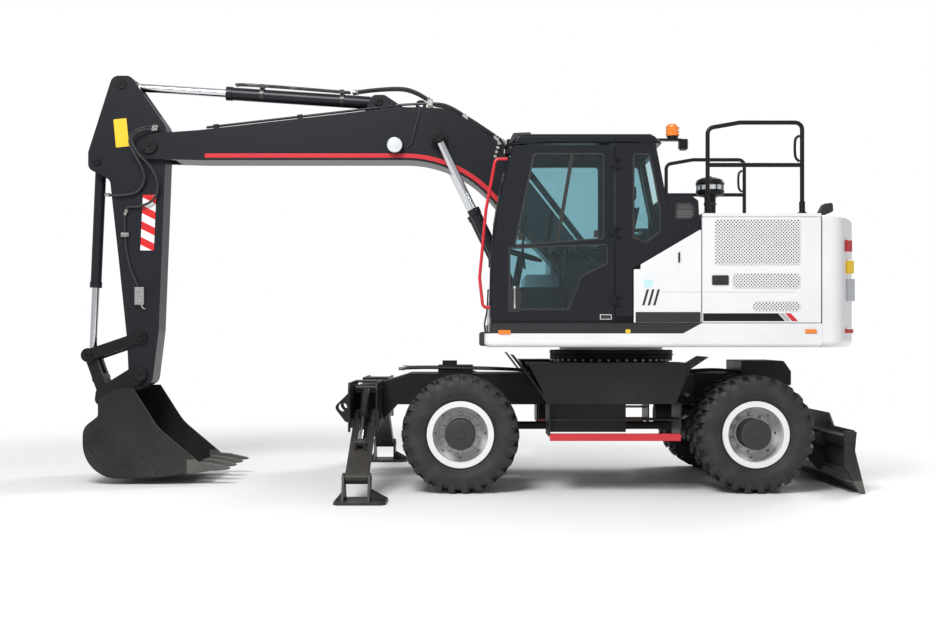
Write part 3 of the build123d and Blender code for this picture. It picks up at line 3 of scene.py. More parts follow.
import bmesh
import bpy
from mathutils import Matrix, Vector


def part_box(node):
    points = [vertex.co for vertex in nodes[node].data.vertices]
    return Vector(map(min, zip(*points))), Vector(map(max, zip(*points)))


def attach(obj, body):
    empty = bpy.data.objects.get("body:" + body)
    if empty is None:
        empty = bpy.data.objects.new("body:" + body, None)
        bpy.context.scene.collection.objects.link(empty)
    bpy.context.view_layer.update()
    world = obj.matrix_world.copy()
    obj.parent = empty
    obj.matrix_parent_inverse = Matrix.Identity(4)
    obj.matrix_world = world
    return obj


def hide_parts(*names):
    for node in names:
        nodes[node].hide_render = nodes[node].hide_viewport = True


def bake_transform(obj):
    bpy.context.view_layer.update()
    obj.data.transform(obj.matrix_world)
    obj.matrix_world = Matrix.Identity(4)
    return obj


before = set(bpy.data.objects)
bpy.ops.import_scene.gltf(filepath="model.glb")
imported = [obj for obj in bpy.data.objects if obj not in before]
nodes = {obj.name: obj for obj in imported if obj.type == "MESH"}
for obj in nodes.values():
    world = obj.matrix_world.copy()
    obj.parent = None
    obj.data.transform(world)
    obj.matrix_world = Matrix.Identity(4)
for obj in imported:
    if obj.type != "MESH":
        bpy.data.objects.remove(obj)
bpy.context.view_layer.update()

# Standing place, camera and light
# The machine is seen from its left side by a level camera 12 m off, over a white floor
# whose horizon fades out, with one large soft lamp above and in front and an even sky.
ring_low, ring_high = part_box("slew_ring")
swing_x = (ring_low.x + ring_high.x) / 2
CAMERA_FROM_SWING = -1.393
CAMERA_DISTANCE = 12.147
CAMERA_HEIGHT = 1.371
SENSOR_WIDTH = 36.0
FOCAL_LENGTH = 47.85
HORIZON_SHIFT = 0.0256

camera_data = bpy.data.cameras.new("side_view")
camera_data.sensor_width = SENSOR_WIDTH
camera_data.lens = FOCAL_LENGTH
camera_data.shift_y = HORIZON_SHIFT
camera = bpy.data.objects.new("side_view", camera_data)
bpy.context.scene.collection.objects.link(camera)
camera.location = (swing_x + CAMERA_FROM_SWING, -CAMERA_DISTANCE, CAMERA_HEIGHT)
camera.rotation_euler = (math.radians(90), 0, 0)
bpy.context.scene.camera = camera
bpy.context.scene.view_settings.view_transform = "Standard"


def soft_lamp(name, place, aim, size, watts):
    data = bpy.data.lights.new(name, "AREA")
    data.shape = "DISK"
    data.size = size
    data.energy = watts
    lamp = bpy.data.objects.new(name, data)
    bpy.context.scene.collection.objects.link(lamp)
    lamp.location = place
    lamp.rotation_mode = "QUATERNION"
    lamp.rotation_quaternion = (Vector(aim) - Vector(place)).to_track_quat("-Z", "Y")


def node(tree, kind, settings=(), values=(), **links):
    """New node with attributes set, unlinked inputs given by name or number, and links by input."""
    made = tree.nodes.new(kind)
    for key, value in dict(settings).items():
        setattr(made, key, value)
    for key, value in dict(values).items():
        made.inputs[key].default_value = value
    for key, source in links.items():
        tree.links.new(source, made.inputs[int(key[1:]) if key[0] == "_" else key.replace("_", " ")])
    return made


def math_node(tree, operation, *sources):
    made = tree.nodes.new("ShaderNodeMath")
    made.operation = operation
    for number, source in enumerate(sources):
        if isinstance(source, (int, float)):
            made.inputs[number].default_value = source
        else:
            tree.links.new(source, made.inputs[number])
    return made.outputs[0]


soft_lamp("key_lamp", (swing_x - 4.5, -9.0, 10.0), (swing_x - 0.5, 0, 1.2), 5.0, 1350)
soft_lamp("rear_lamp", (swing_x + 7.0, 8.0, 9.0), (swing_x, 0, 1.5), 6.0, 900)

world = bpy.data.worlds.new("even_sky")
bpy.context.scene.world = world
world.use_nodes = True
sky = world.node_tree
sky.nodes.clear()
rays = node(sky, "ShaderNodeLightPath").outputs
seen = math_node(sky, "MAXIMUM", rays["Is Camera Ray"], rays["Is Transmission Ray"])
lit = node(sky, "ShaderNodeBackground", values={"Color": (0.95, 0.97, 1.0, 1), "Strength": 0.55}).outputs[0]
backdrop = node(sky, "ShaderNodeBackground", values={"Color": (1, 1, 1, 1), "Strength": 1.0}).outputs[0]
node(sky, "ShaderNodeOutputWorld", Surface=node(sky, "ShaderNodeMixShader", _0=seen, _1=lit,
    _2=backdrop).outputs[0])

FLOOR_REACH = 60.0
FADE_START, FADE_END = 4.5, 9.0
floor_mesh = bpy.data.meshes.new("floor")
floor_mesh.from_pydata(
    [(swing_x + x * FLOOR_REACH, y * FLOOR_REACH, 0) for x, y in ((-1, -1), (1, -1), (1, 1), (-1, 1))],
    [], [(0, 1, 2, 3)])
floor = bpy.data.objects.new("floor", floor_mesh)
bpy.context.scene.collection.objects.link(floor)
floor_paint = bpy.data.materials.new("pale_floor")
floor_paint.use_nodes = True
tree = floor_paint.node_tree
shader = tree.nodes["Principled BSDF"]
shader.inputs["Base Color"].default_value = (0.86, 0.86, 0.86, 1)
shader.inputs["Roughness"].default_value = 0.7
away = node(tree, "ShaderNodeVectorMath", {"operation": "DISTANCE"}, {1: (0, 0, 0)},
            _0=node(tree, "ShaderNodeNewGeometry").outputs["Position"]).outputs["Value"]
span = node(tree, "ShaderNodeMapRange", {"interpolation_type": "SMOOTHSTEP"},
            {"From Min": FADE_START, "From Max": FADE_END}, Value=away).outputs[0]
glow = node(tree, "ShaderNodeEmission", values={"Strength": 1.0}).outputs[0]
fade = node(tree, "ShaderNodeMixShader", _0=span, _1=shader.outputs[0], _2=glow).outputs[0]
tree.links.new(fade, tree.nodes["Material Output"].inputs["Surface"])
floor_mesh.materials.append(floor_paint)


# Finishes of the painted steel
# Sprayed steel has a faint orange peel, soft shade differences, rounded edges, and dust
# that gathers low down and on flat tops. One group makes these for every paint.
def make_group(name, inputs, outputs):
    group = bpy.data.node_groups.new(name, "ShaderNodeTree")
    for label, kind, value in inputs:
        socket = group.interface.new_socket(name=label, in_out="INPUT", socket_type=kind)
        socket.default_value = value
    for label, kind in outputs:
        group.interface.new_socket(name=label, in_out="OUTPUT", socket_type=kind)
    return group, group.nodes.new("NodeGroupInput").outputs, group.nodes.new("NodeGroupOutput").inputs


def mixed(tree, factor, first, second):
    made = tree.nodes.new("ShaderNodeMix")
    made.data_type = "RGBA"
    for number, source in ((0, factor), (6, first), (7, second)):
        if isinstance(source, (int, float, tuple)):
            made.inputs[number].default_value = source
        else:
            tree.links.new(source, made.inputs[number])
    return made.outputs[2]


sprayed, given, out = make_group(
    "sprayed_steel",
    (("Paint", "NodeSocketColor", (0.5, 0.5, 0.5, 1)), ("Dust", "NodeSocketColor", (0.3, 0.27, 0.23, 1)),
     ("Dust Amount", "NodeSocketFloat", 0.2), ("Dust Height", "NodeSocketFloat", 1.2),
     ("Roughness", "NodeSocketFloat", 0.4), ("Peel", "NodeSocketFloat", 0.05),
     ("Edge Radius", "NodeSocketFloat", 0.004)),
    (("Color", "NodeSocketColor"), ("Roughness", "NodeSocketFloat"), ("Normal", "NodeSocketVector")))
coords = node(sprayed, "ShaderNodeTexCoord").outputs["Object"]
place = node(sprayed, "ShaderNodeNewGeometry")
blotches = node(sprayed, "ShaderNodeTexNoise", values={"Scale": 2.3, "Detail": 5}, Vector=coords)
specks = node(sprayed, "ShaderNodeTexNoise", values={"Scale": 38, "Detail": 4, "Roughness": 0.65},
    Vector=coords)
peel = node(sprayed, "ShaderNodeTexNoise", values={"Scale": 210, "Detail": 2}, Vector=coords)
height = node(sprayed, "ShaderNodeSeparateXYZ", _0=place.outputs["Position"]).outputs["Z"]
facing = node(sprayed, "ShaderNodeSeparateXYZ", _0=place.outputs["Normal"]).outputs["Z"]
low = node(sprayed, "ShaderNodeMapRange", values={"From Min": 0, "To Min": 1, "To Max": 0},
           Value=height, From_Max=given["Dust Height"]).outputs[0]
tops = node(sprayed, "ShaderNodeMapRange", values={"From Min": 0.55, "From Max": 0.95},
    Value=facing).outputs[0]
lying = math_node(sprayed, "MULTIPLY_ADD", tops, 0.7, low)
patchy = math_node(sprayed, "MULTIPLY", lying, math_node(sprayed, "MULTIPLY_ADD", blotches.outputs[0], 1.6,
    -0.3))
patchy = math_node(sprayed, "MULTIPLY", patchy, math_node(sprayed, "MULTIPLY_ADD", specks.outputs[0], 1.4,
    0.1))
dusty = node(sprayed, "ShaderNodeClamp", Value=math_node(
    sprayed, "MULTIPLY", patchy, given["Dust Amount"])).outputs[0]
shade = node(sprayed, "ShaderNodeHueSaturation", Color=given["Paint"],
             Value=math_node(sprayed, "MULTIPLY_ADD", blotches.outputs[0], 0.16, 0.92)).outputs[0]
sprayed.links.new(mixed(sprayed, dusty, shade, given["Dust"]), out["Color"])
rough = math_node(sprayed, "MULTIPLY_ADD", specks.outputs[0], 0.12, math_node(
    sprayed, "ADD", given["Roughness"], -0.06))
sprayed.links.new(math_node(sprayed, "MULTIPLY_ADD", dusty, 0.5, rough), out["Roughness"])
edges = node(sprayed, "ShaderNodeBevel", settings={"samples": 4}, Radius=given["Edge Radius"]).outputs[0]
bump = node(sprayed, "ShaderNodeBump", values={"Distance": 0.002}, Strength=given["Peel"],
            Height=peel.outputs[0], Normal=edges)
sprayed.links.new(bump.outputs[0], out["Normal"])


def finish_of(name, group, values, colour_socket="Paint", **settings):
    """Material whose colour, roughness and normal come from a group, with plain shader settings."""
    made = bpy.data.materials.new(name)
    made.use_nodes = True
    tree = made.node_tree
    shader = tree.nodes["Principled BSDF"]
    worked = tree.nodes.new("ShaderNodeGroup")
    worked.node_tree = group
    for key, value in values.items():
        worked.inputs[key].default_value = value
    tree.links.new(worked.outputs["Color"], shader.inputs["Base Color"])
    tree.links.new(worked.outputs["Roughness"], shader.inputs["Roughness"])
    tree.links.new(worked.outputs["Normal"], shader.inputs["Normal"])
    for key, value in settings.items():
        shader.inputs[key.replace("_", " ")].default_value = value
    return made


def paint(name, colour, rough, dust, peel=0.05, coat=0.0, edge=0.004, reach=1.2, shine=0.5):
    made = finish_of(name, sprayed, {
        "Paint": (*colour, 1), "Dust Amount": dust, "Roughness": rough, "Peel": peel,
        "Edge Radius": edge, "Dust Height": reach})
    shader = made.node_tree.nodes["Principled BSDF"]
    shader.inputs["Specular IOR Level"].default_value = shine
    shader.inputs["Coat Weight"].default_value = coat
    shader.inputs["Coat Roughness"].default_value = 0.12
    return made


black_paint = paint("black_paint", (0.0065, 0.0065, 0.007), 0.42, 0.20, coat=0.04, shine=0.22)
graphite_paint = paint("graphite_paint", (0.0105, 0.0118, 0.0155), 0.34, 0.03, coat=0.06, shine=0.22)
white_paint = paint("white_paint", (0.74, 0.74, 0.745), 0.30, 0.04, coat=0.3, edge=0.006)
red_paint = paint("red_paint", (0.56, 0.012, 0.022), 0.34, 0.06, coat=0.3)
wheel_paint = paint("wheel_paint", (0.72, 0.73, 0.74), 0.36, 0.06, coat=0.2, reach=0.9)
cast_steel = paint("cast_steel", (0.018, 0.018, 0.019), 0.62, 0.25, peel=0.4, shine=0.25)


def carried(name, finish):
    """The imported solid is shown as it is, in this finish."""
    mesh = nodes[name].data
    mesh.materials.clear()
    mesh.materials.append(finish)


# Every carried solid starts in its own paint
# Later sections change single ones where the real finish differs.
PAINTED = (
    (white_paint, ("deck", "counterweight", "hood", "engine_hood", "left_engine_door", "right_engine_door",
                   "left_service_door", "tanks")),
    (graphite_paint, ("boom", "arm", "cab_frame", "cab_door", "boom_barrels", "arm_barrel", "bucket_barrel")),
    (cast_steel, ("engine_block", "slew_ring", "driveline")),
    (red_paint, ("grab_rail",)),
)
for name in nodes:
    carried(name, black_paint)
for finish, names in PAINTED:
    for name in names:
        carried(name, finish)

# Tyres
# Twin block-tread tyres of black rubber. The carcass is turned, the shoulder lugs are
# moulded blocks set in two staggered rows, and thin ribs run round the side walls.
FRONT_AXLE_X = -1.460
REAR_AXLE_X = 1.140
TYRE_RADIUS = 0.520
TYRE_WIDTH = 0.290
TWIN_GAP = 0.030
HALF_WIDTH = 1.250
LUGS = 26
LUG_SHARE = 0.50
LUG_SLANT = 0.55
TYRE_STEPS = 104
RIM_HALF = 0.110
RIM_WALL = 0.010


def lathe(bm, rows, origin, axis, steps=48):
    """Turned surface, rows of (radius, distance along the axis)."""
    along = Vector(axis).normalized()
    first = along.orthogonal().normalized()
    second = along.cross(first)
    rings = []
    for radius, distance in rows:
        centre = Vector(origin) + along * distance
        if radius < 1e-6:
            rings.append([bm.verts.new(centre)])
            continue
        rings.append([bm.verts.new(centre + (first * math.cos(t) + second * math.sin(t)) * radius)
                      for t in (2 * math.pi * k / steps for k in range(steps))])
    for low, high in zip(rings, rings[1:]):
        for k in range(steps):
            corners = [low[k % len(low)], low[(k + 1) % len(low)], high[(k + 1) % len(high)],
                high[k % len(high)]]
            corners = list(dict.fromkeys(corners))
            if len(corners) > 2:
                bm.faces.new(corners)


def prism(bm, outline, low, high, axis="y"):
    """Solid over a flat outline: points are (x, z) for axis y, (x, y) for z and (y, z) for x."""
    order = {"x": (2, 0, 1), "y": (0, 2, 1), "z": (0, 1, 2)}[axis]

    def corner(point, level):
        three = (*point, level)
        return bm.verts.new([three[k] for k in order])

    ends = [[corner(point, level) for point in outline] for level in (low, high)]
    bm.faces.new(ends[0])
    bm.faces.new(ends[1][::-1])
    count = len(outline)
    for k in range(count):
        bm.faces.new([ends[0][k], ends[1][k], ends[1][(k + 1) % count], ends[0][(k + 1) % count]])


def box(bm, low, high):
    prism(bm, [(low[0], low[1]), (high[0], low[1]), (high[0], high[1]), (low[0], high[1])], low[2], high[2],
        "z")


def rod(bm, start, end, radius, steps=20):
    start, end = Vector(start), Vector(end)
    length = (end - start).length
    lathe(bm, [(0, 0), (radius, 0), (radius, length), (0, length)], start, end - start, steps)


def piece(name, bm, body, finish, bevel=0.0, place=(0, 0, 0)):
    """Object from a built mesh, placed from the slewing axis and carried by a body."""
    bmesh.ops.recalc_face_normals(bm, faces=bm.faces)
    mesh = bpy.data.meshes.new(name)
    bm.to_mesh(mesh)
    bm.free()
    mesh.shade_smooth()
    mesh.set_sharp_from_angle(angle=math.radians(32))
    mesh.materials.append(finish)
    made = bpy.data.objects.new(name, mesh)
    bpy.context.scene.collection.objects.link(made)
    made.location = Vector((swing_x, 0, 0)) + Vector(place)
    if bevel:
        rounding = made.modifiers.new("rounding", "BEVEL")
        rounding.width = bevel
        rounding.segments = 2
        rounding.limit_method = "ANGLE"
        rounding.harden_normals = True
    if body:
        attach(made, body)
    return made


def again(source, name, body, place, turn=0.0):
    """A second copy of a piece at another place, sharing its mesh."""
    made = bpy.data.objects.new(name, source.data)
    bpy.context.scene.collection.objects.link(made)
    made.location = Vector((swing_x, 0, 0)) + Vector(place)
    made.rotation_euler = (0, 0, turn)
    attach(made, body)
    return made


rubber_group, given, out = make_group("moulded_rubber",
    (("Rubber", "NodeSocketColor", (0.02, 0.02, 0.02, 1)),
    ("Bloom", "NodeSocketColor", (0.06, 0.058, 0.055, 1)), ("Rib Pitch", "NodeSocketFloat", 900.0)),
    (("Color", "NodeSocketColor"), ("Roughness", "NodeSocketFloat"), ("Normal", "NodeSocketVector")))
coords = node(rubber_group, "ShaderNodeTexCoord").outputs["Object"]
split = node(rubber_group, "ShaderNodeSeparateXYZ", _0=coords).outputs
radius = math_node(rubber_group, "SQRT", math_node(
    rubber_group, "ADD", math_node(rubber_group, "POWER", split["X"], 2.0),
    math_node(rubber_group, "POWER", split["Z"], 2.0)))
ribs = math_node(rubber_group, "SINE", math_node(rubber_group, "MULTIPLY", radius, given["Rib Pitch"]))
on_wall = node(rubber_group, "ShaderNodeMapRange", values={"From Min": 0.375, "From Max": 0.365},
    Value=radius).outputs[0]
grain = node(rubber_group, "ShaderNodeTexNoise", values={"Scale": 160, "Detail": 4}, Vector=coords)
patches = node(rubber_group, "ShaderNodeTexNoise", values={"Scale": 7, "Detail": 5}, Vector=coords)
relief = math_node(rubber_group, "MULTIPLY_ADD", math_node(rubber_group, "MULTIPLY", ribs, on_wall), 0.8,
    grain.outputs[0])
bloomed = math_node(rubber_group, "MULTIPLY", node(
    rubber_group, "ShaderNodeMapRange", values={"From Min": 0.45, "From Max": 0.75},
    Value=patches.outputs[0]).outputs[0], 0.45)
rubber_group.links.new(mixed(rubber_group, bloomed, given["Rubber"], given["Bloom"]), out["Color"])
rubber_group.links.new(math_node(rubber_group, "MULTIPLY_ADD", patches.outputs[0], 0.25, 0.52),
    out["Roughness"])
bump = node(rubber_group, "ShaderNodeBump", values={"Distance": 0.0012, "Strength": 0.5}, Height=relief)
rubber_group.links.new(bump.outputs[0], out["Normal"])
tyre_rubber = finish_of("tyre_rubber", rubber_group, {"Rubber": (0.014, 0.014, 0.015, 1)})

half = TYRE_WIDTH / 2
side_wall = [(0.262, 0.090), (0.300, 0.091), (0.306, 0.104), (0.318, 0.114), (0.330, 0.1245),
    (0.337, 0.1245), (0.343, 0.130), (0.372, 0.1415), (0.400, half - 0.001), (0.432, 0.143), (0.462, 0.133),
    (0.480, 0.118), (0.489, 0.085), (0.491, 0.0)]
carcass = [(r, -y) for r, y in side_wall[:-1]] + [(r, y) for r, y in reversed(side_wall)]
lug_section = [
    (0.484, -0.022), (TYRE_RADIUS, -0.016), (TYRE_RADIUS, 0.098), (0.505, 0.128), (0.470, half - 0.003),
    (0.425, half - 0.0005), (0.398, half - 0.002), (0.410, 0.128), (0.455, 0.118), (0.478, 0.09)]
bm = bmesh.new()
for centre in (-half - TWIN_GAP / 2, half + TWIN_GAP / 2):
    lathe(bm, carcass + carcass[:1], (0, centre, 0), (0, 1, 0), TYRE_STEPS)
    for hand in (-1, 1):
        for index in range(LUGS):
            turn = 2 * math.pi * (index + 0.25 * (1 + hand)) / LUGS
            wide = math.pi / LUGS * LUG_SHARE
            faces = []
            for edge in (-1, 1):
                ring = []
                for r, y in lug_section:
                    narrow = 0.82 if r > TYRE_RADIUS - 0.001 else 1.0
                    angle = turn + edge * wide * narrow + hand * (y - 0.06) * LUG_SLANT
                    ring.append(bm.verts.new((r * math.cos(angle), centre + hand * y, r * math.sin(angle))))
                faces.append(ring)
            bm.faces.new(faces[0])
            bm.faces.new(faces[1][::-1])
            for k in range(len(lug_section)):
                after = (k + 1) % len(lug_section)
                bm.faces.new([faces[0][k], faces[1][k], faces[1][after], faces[0][after]])
wheel_y = HALF_WIDTH - TYRE_WIDTH - TWIN_GAP / 2
WHEELS = (
    ("front_left", FRONT_AXLE_X, -1, 0.0), ("front_right", FRONT_AXLE_X, 1, 0.4),
    ("rear_left", REAR_AXLE_X, -1, 0.9), ("rear_right", REAR_AXLE_X, 1, 0.2))
first_tyres = None
for label, x, hand, turn in WHEELS:
    place = (x, hand * wheel_y, TYRE_RADIUS)
    if first_tyres is None:
        first_tyres = tyres = piece("twin_tyres_" + label, bm, "wheels_" + label, tyre_rubber, place=place)
    else:
        tyres = again(first_tyres, "twin_tyres_" + label, "wheels_" + label, place)
    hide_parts("tyres_" + label)

# Wheel fittings
# The rims are white enamel with a grey disc. Ten ball-seat nuts on studs and a black hub cap with three screws
# sit on each outer disc.
NUT_CIRCLE = 0.168
NUTS = 10
zinc = finish_of("zinc_plate", sprayed, {"Paint": (0.42, 0.42, 0.40, 1), "Dust Amount": 0.1,
    "Roughness": 0.34, "Peel": 0.15, "Edge Radius": 0.001}, Metallic=0.9)
black_plastic = paint("black_plastic", (0.016, 0.016, 0.017), 0.5, 0.08, peel=0.6, edge=0.002)


def hex_nut(bm, centre, axis, across_flats, height):
    lathe(bm, [(0, 0), (across_flats * 0.577, 0), (across_flats * 0.577, height * 0.85),
               (across_flats * 0.5, height), (0, height)], centre, axis, 6)


HUB_FACE = 0.014
HUB_RADIUS = 0.1365
STUD_RADIUS = 0.011
for label, x, hand, turn in WHEELS:
    bm = bmesh.new()
    for index in range(NUTS):
        angle = 2 * math.pi * (index + 0.5) / NUTS
        spot = Vector((NUT_CIRCLE * math.cos(angle), hand * HUB_FACE, NUT_CIRCLE * math.sin(angle)))
        lathe(bm, [(0.0, 0), (0.026, 0), (0.024, 0.006), (0.0, 0.006)], spot, (0, hand, 0), 16)
        hex_nut(bm, spot + Vector((0, hand * 0.006, 0)), (0, hand, 0), 0.032, 0.024)
        rod(bm, spot, spot + Vector((0, hand * 0.042, 0)), STUD_RADIUS, 12)
    piece("wheel_nuts_" + label, bm, "wheels_" + label, zinc, place=(x, hand * wheel_y, TYRE_RADIUS))
    bm = bmesh.new()
    far = half + TWIN_GAP / 2 + RIM_HALF + RIM_WALL
    lathe(bm, [(HUB_RADIUS, 0.075), (HUB_RADIUS, far - 0.018), (0.132, far - 0.004), (0.118, far + 0.0015),
        (0.040, far + 0.0015), (0.036, far + 0.006), (0, far + 0.006)], (0, 0, 0), (0, hand, 0), 56)
    for k in range(3):
        angle = math.pi * (0.3 + 2 * k / 3)
        spot = Vector((0.085 * math.cos(angle), hand * (far + 0.001), 0.085 * math.sin(angle)))
        hex_nut(bm, spot, (0, hand, 0), 0.016, 0.007)
    piece("hub_cap_" + label, bm, "wheels_" + label, black_plastic, place=(x, hand * wheel_y, TYRE_RADIUS))

# Two-tone solids, chrome and glass
# Rims have a white ring round a grey disc, cylinder rods are chromed up to their eyes, and the
# deck has black trim over its white skirt. Lenses are coloured plastic, panes thin teal glass.
chrome = finish_of("chromed_rod", sprayed, {"Paint": (0.72, 0.73, 0.75, 1), "Dust Amount": 0.02,
    "Roughness": 0.13, "Peel": 0.0, "Edge Radius": 0.001}, Metallic=1.0)
bright_steel = finish_of("worn_steel", sprayed, {"Paint": (0.30, 0.29, 0.28, 1), "Dust Amount": 0.35,
    "Roughness": 0.42, "Peel": 0.5, "Edge Radius": 0.003}, Metallic=0.8)
amber = paint("amber_lens", (0.80, 0.20, 0.01), 0.16, 0.02, coat=0.8, edge=0.002)
red_lens = paint("red_lens", (0.42, 0.008, 0.008), 0.14, 0.02, coat=0.8, edge=0.002)
clear_lens = paint("clear_lens", (0.62, 0.65, 0.67), 0.10, 0.02, coat=1.0, edge=0.001)
yellow_paint = paint("yellow_plate", (0.78, 0.50, 0.02), 0.35, 0.04, edge=0.001)
glass = bpy.data.materials.new("tinted_glass")
glass.use_nodes = True
tree = glass.node_tree
shader = tree.nodes["Principled BSDF"]
shader.inputs["Base Color"].default_value = (0.42, 0.62, 0.66, 1)
shader.inputs["Transmission Weight"].default_value = 1.0
shader.inputs["IOR"].default_value = 1.45
smears = node(tree, "ShaderNodeTexNoise", values={"Scale": 3.0, "Detail": 6},
              Vector=node(tree, "ShaderNodeTexCoord").outputs["Object"])
tree.links.new(node(tree, "ShaderNodeMapRange", values={"From Min": 0.45, "From Max": 0.9, "To Min": 0.01,
    "To Max": 0.09}, Value=smears.outputs[0]).outputs[0], shader.inputs["Roughness"])


def two_finishes(name, first, second, rule):
    """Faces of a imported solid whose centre, from the slewing axis, meets the rule take the second finish."""
    mesh = nodes[name].data
    mesh.materials.clear()
    for finish in (first, second):
        mesh.materials.append(finish)
    for face in mesh.polygons:
        x, y, z = face.center
        face.material_index = int(rule(x - swing_x, y, z))


def zoned(name, source, colour, planes):
    """Copy of a finish in another colour where a point lies below every plane (nx, ny, nz, distance)."""
    made = source.copy()
    made.name = name
    tree = made.node_tree
    worked = next(n for n in tree.nodes if n.type == "GROUP")
    spot = node(tree, "ShaderNodeTexCoord").outputs["Object"]
    mask = 1.0
    for nx, ny, nz, distance in planes:
        reach = node(tree, "ShaderNodeVectorMath", {"operation": "DOT_PRODUCT"}, {1: (nx, ny, nz)}, _0=spot)
        below = math_node(tree, "LESS_THAN", reach.outputs["Value"], distance + nx * swing_x)
        mask = math_node(tree, "MULTIPLY", below, mask)
    base = tuple(worked.inputs["Paint"].default_value)
    tree.links.new(mixed(tree, mask, base, (*colour, 1)), worked.inputs["Paint"])
    return made


RING_EDGE = 0.236
for label, x, hand, turn in WHEELS:
    two_finishes("rim_" + label, wheel_paint, white_paint,
                 lambda a, b, c, x=x: math.hypot(a - x, c - TYRE_RADIUS) > RING_EDGE)
# Rods: node, eye (x, z), reach of the painted eye
CHROMED = (
    ("boom_rods", (-1.680, 3.284), 0.066), ("arm_rod", (-4.740, 3.823), 0.066),
    ("bucket_rod", (-5.054, 1.206), 0.062), ("blade_rods", (1.880, 0.430), 0.042))
for name, (eye_x, eye_z), reach in CHROMED:
    two_finishes(name, black_paint, chrome,
                 lambda a, b, c, x=eye_x, z=eye_z, r=reach: math.hypot(a - x, c - z) > r)
LEG_EYE = (1.4466, 0.4676)
for hand in ("left", "right"):
    two_finishes("stabiliser_rod_" + hand, black_paint, chrome,
                 lambda a, b, c: math.hypot(abs(b) - LEG_EYE[0], c - LEG_EYE[1]) > 0.04)
two_finishes("steering_rod", black_paint, chrome, lambda a, b, c: abs(b) < 0.59)
two_finishes("side_steps", black_paint, red_paint, lambda a, b, c: c < 0.5265 and abs(b) > 1.125)
two_finishes("lamps", black_paint, amber, lambda a, b, c: c > 3.1595 and abs(a - 0.42) < 0.062)
two_finishes("air_stack", black_paint, clear_lens, lambda a, b, c: 2.741 < c < 2.785)
TRIM_LEVEL = 1.4104
carried("deck", zoned("deck_paint", white_paint, (0.012, 0.012, 0.013),
                      ((0, 0, -1, -TRIM_LEVEL), (1, 0, -1.816, -2.0694))))
for name in ("cab_glass", "door_glass"):
    carried(name, glass)

# Pins and bolts
# Every pin end has a cap with two keeper bolts and a grease nipple. The slewing ring has
# its circle of bolts, and rubber seals above and below its teeth.
PIN_CAPS = (  # body, pin (x, z), distance from the middle plane, radius
    ("upper", (-0.100, 1.720), 0.245, 0.062), ("upper", (-0.800, 1.480), 0.358, 0.048),
    ("boom", (-4.454, 3.214), 0.214, 0.078), ("boom", (-1.680, 3.284), 0.331, 0.052),
    ("boom", (-2.261, 3.659), 0.094, 0.040), ("arm", (-4.740, 3.823), 0.140, 0.052),
    ("arm", (-4.974, 3.076), 0.146, 0.040), ("arm", (-4.554, 1.376), 0.176, 0.044),
    ("rockers", (-5.054, 1.206), 0.170, 0.046), ("bucket", (-4.554, 1.017), 0.172, 0.066),
    ("bucket", (-4.906, 0.794), 0.172, 0.052),
    ("chassis", (1.300, 0.800), 0.475, 0.034), ("blade", (1.880, 0.430), 0.486, 0.040))
for number, (body, (x, z), y, radius) in enumerate(PIN_CAPS):
    bm = bmesh.new()
    for hand in (-1, 1):
        lathe(bm, [(0, 0), (radius, 0), (radius, 0.008), (radius - 0.004, 0.012), (radius * 0.4, 0.012),
                   (radius * 0.36, 0.009), (0, 0.009)], (x, hand * y, z), (0, hand, 0), 40)
        for turn in (0.6, 3.74):
            spot = (x + 0.68 * radius * math.cos(turn), hand * (y + 0.012),
                z + 0.68 * radius * math.sin(turn))
            hex_nut(bm, spot, (0, hand, 0), 0.018, 0.009)
        lathe(bm, [(0, 0), (0.007, 0), (0.006, 0.010), (0.004, 0.016), (0, 0.016)],
            (x, hand * (y + 0.009), z), (0, hand, 0), 10)
    piece(f"pin_caps_{number}_{body}", bm, body, black_paint)
bm = bmesh.new()
RING_BOLTS = 44
RING_BOLT_CIRCLE = 0.577
RING_BOLT_LEVEL = 1.170
for index in range(RING_BOLTS):
    angle = 2 * math.pi * index / RING_BOLTS
    hex_nut(bm, (RING_BOLT_CIRCLE * math.cos(angle), RING_BOLT_CIRCLE * math.sin(angle), RING_BOLT_LEVEL),
        (0, 0, -1), 0.026, 0.018)
piece("slewing_ring_bolts", bm, "chassis", zinc)
bm = bmesh.new()
lathe(bm, [(0.590, -0.012), (0.598, -0.006), (0.598, 0.006), (0.590, 0.012)], (0, 0, 1.236), (0, 0, 1), 96)
lathe(bm, [(0.590, -0.006), (0.5955, -0.003), (0.5955, 0.003), (0.590, 0.006)], (0, 0, 1.196), (0, 0, 1), 96)
piece("slewing_ring_seals", bm, "chassis", black_plastic)

# Hoses and pipes
# Hoses are black rubber with crimped zinc fittings. Those that cross a joint are left on no body, and steel
# pipes in clamps carry the oil on along the boom and the arm.
hose_rubber = finish_of("hose_rubber", rubber_group, {"Rubber": (0.016, 0.016, 0.017, 1), "Rib Pitch": 60.0})
black_pipe = paint("black_pipe", (0.02, 0.02, 0.022), 0.34, 0.12, coat=0.2, edge=0.001)


def smooth_path(points, per_span=7):
    """Points of a smooth curve through the given ones."""
    points = [Vector(p) for p in points]
    ends = [2 * points[0] - points[1], *points, 2 * points[-1] - points[-2]]
    path = []
    for a, b, c, d in zip(ends, ends[1:], ends[2:], ends[3:]):
        for k in range(per_span):
            t = k / per_span
            path.append(0.5 * (2 * b + (c - a) * t + (2 * a - 5 * b + 4 * c - d) * t ** 2
                               + (3 * b - a - 3 * c + d) * t ** 3))
    return path + [points[-1]]


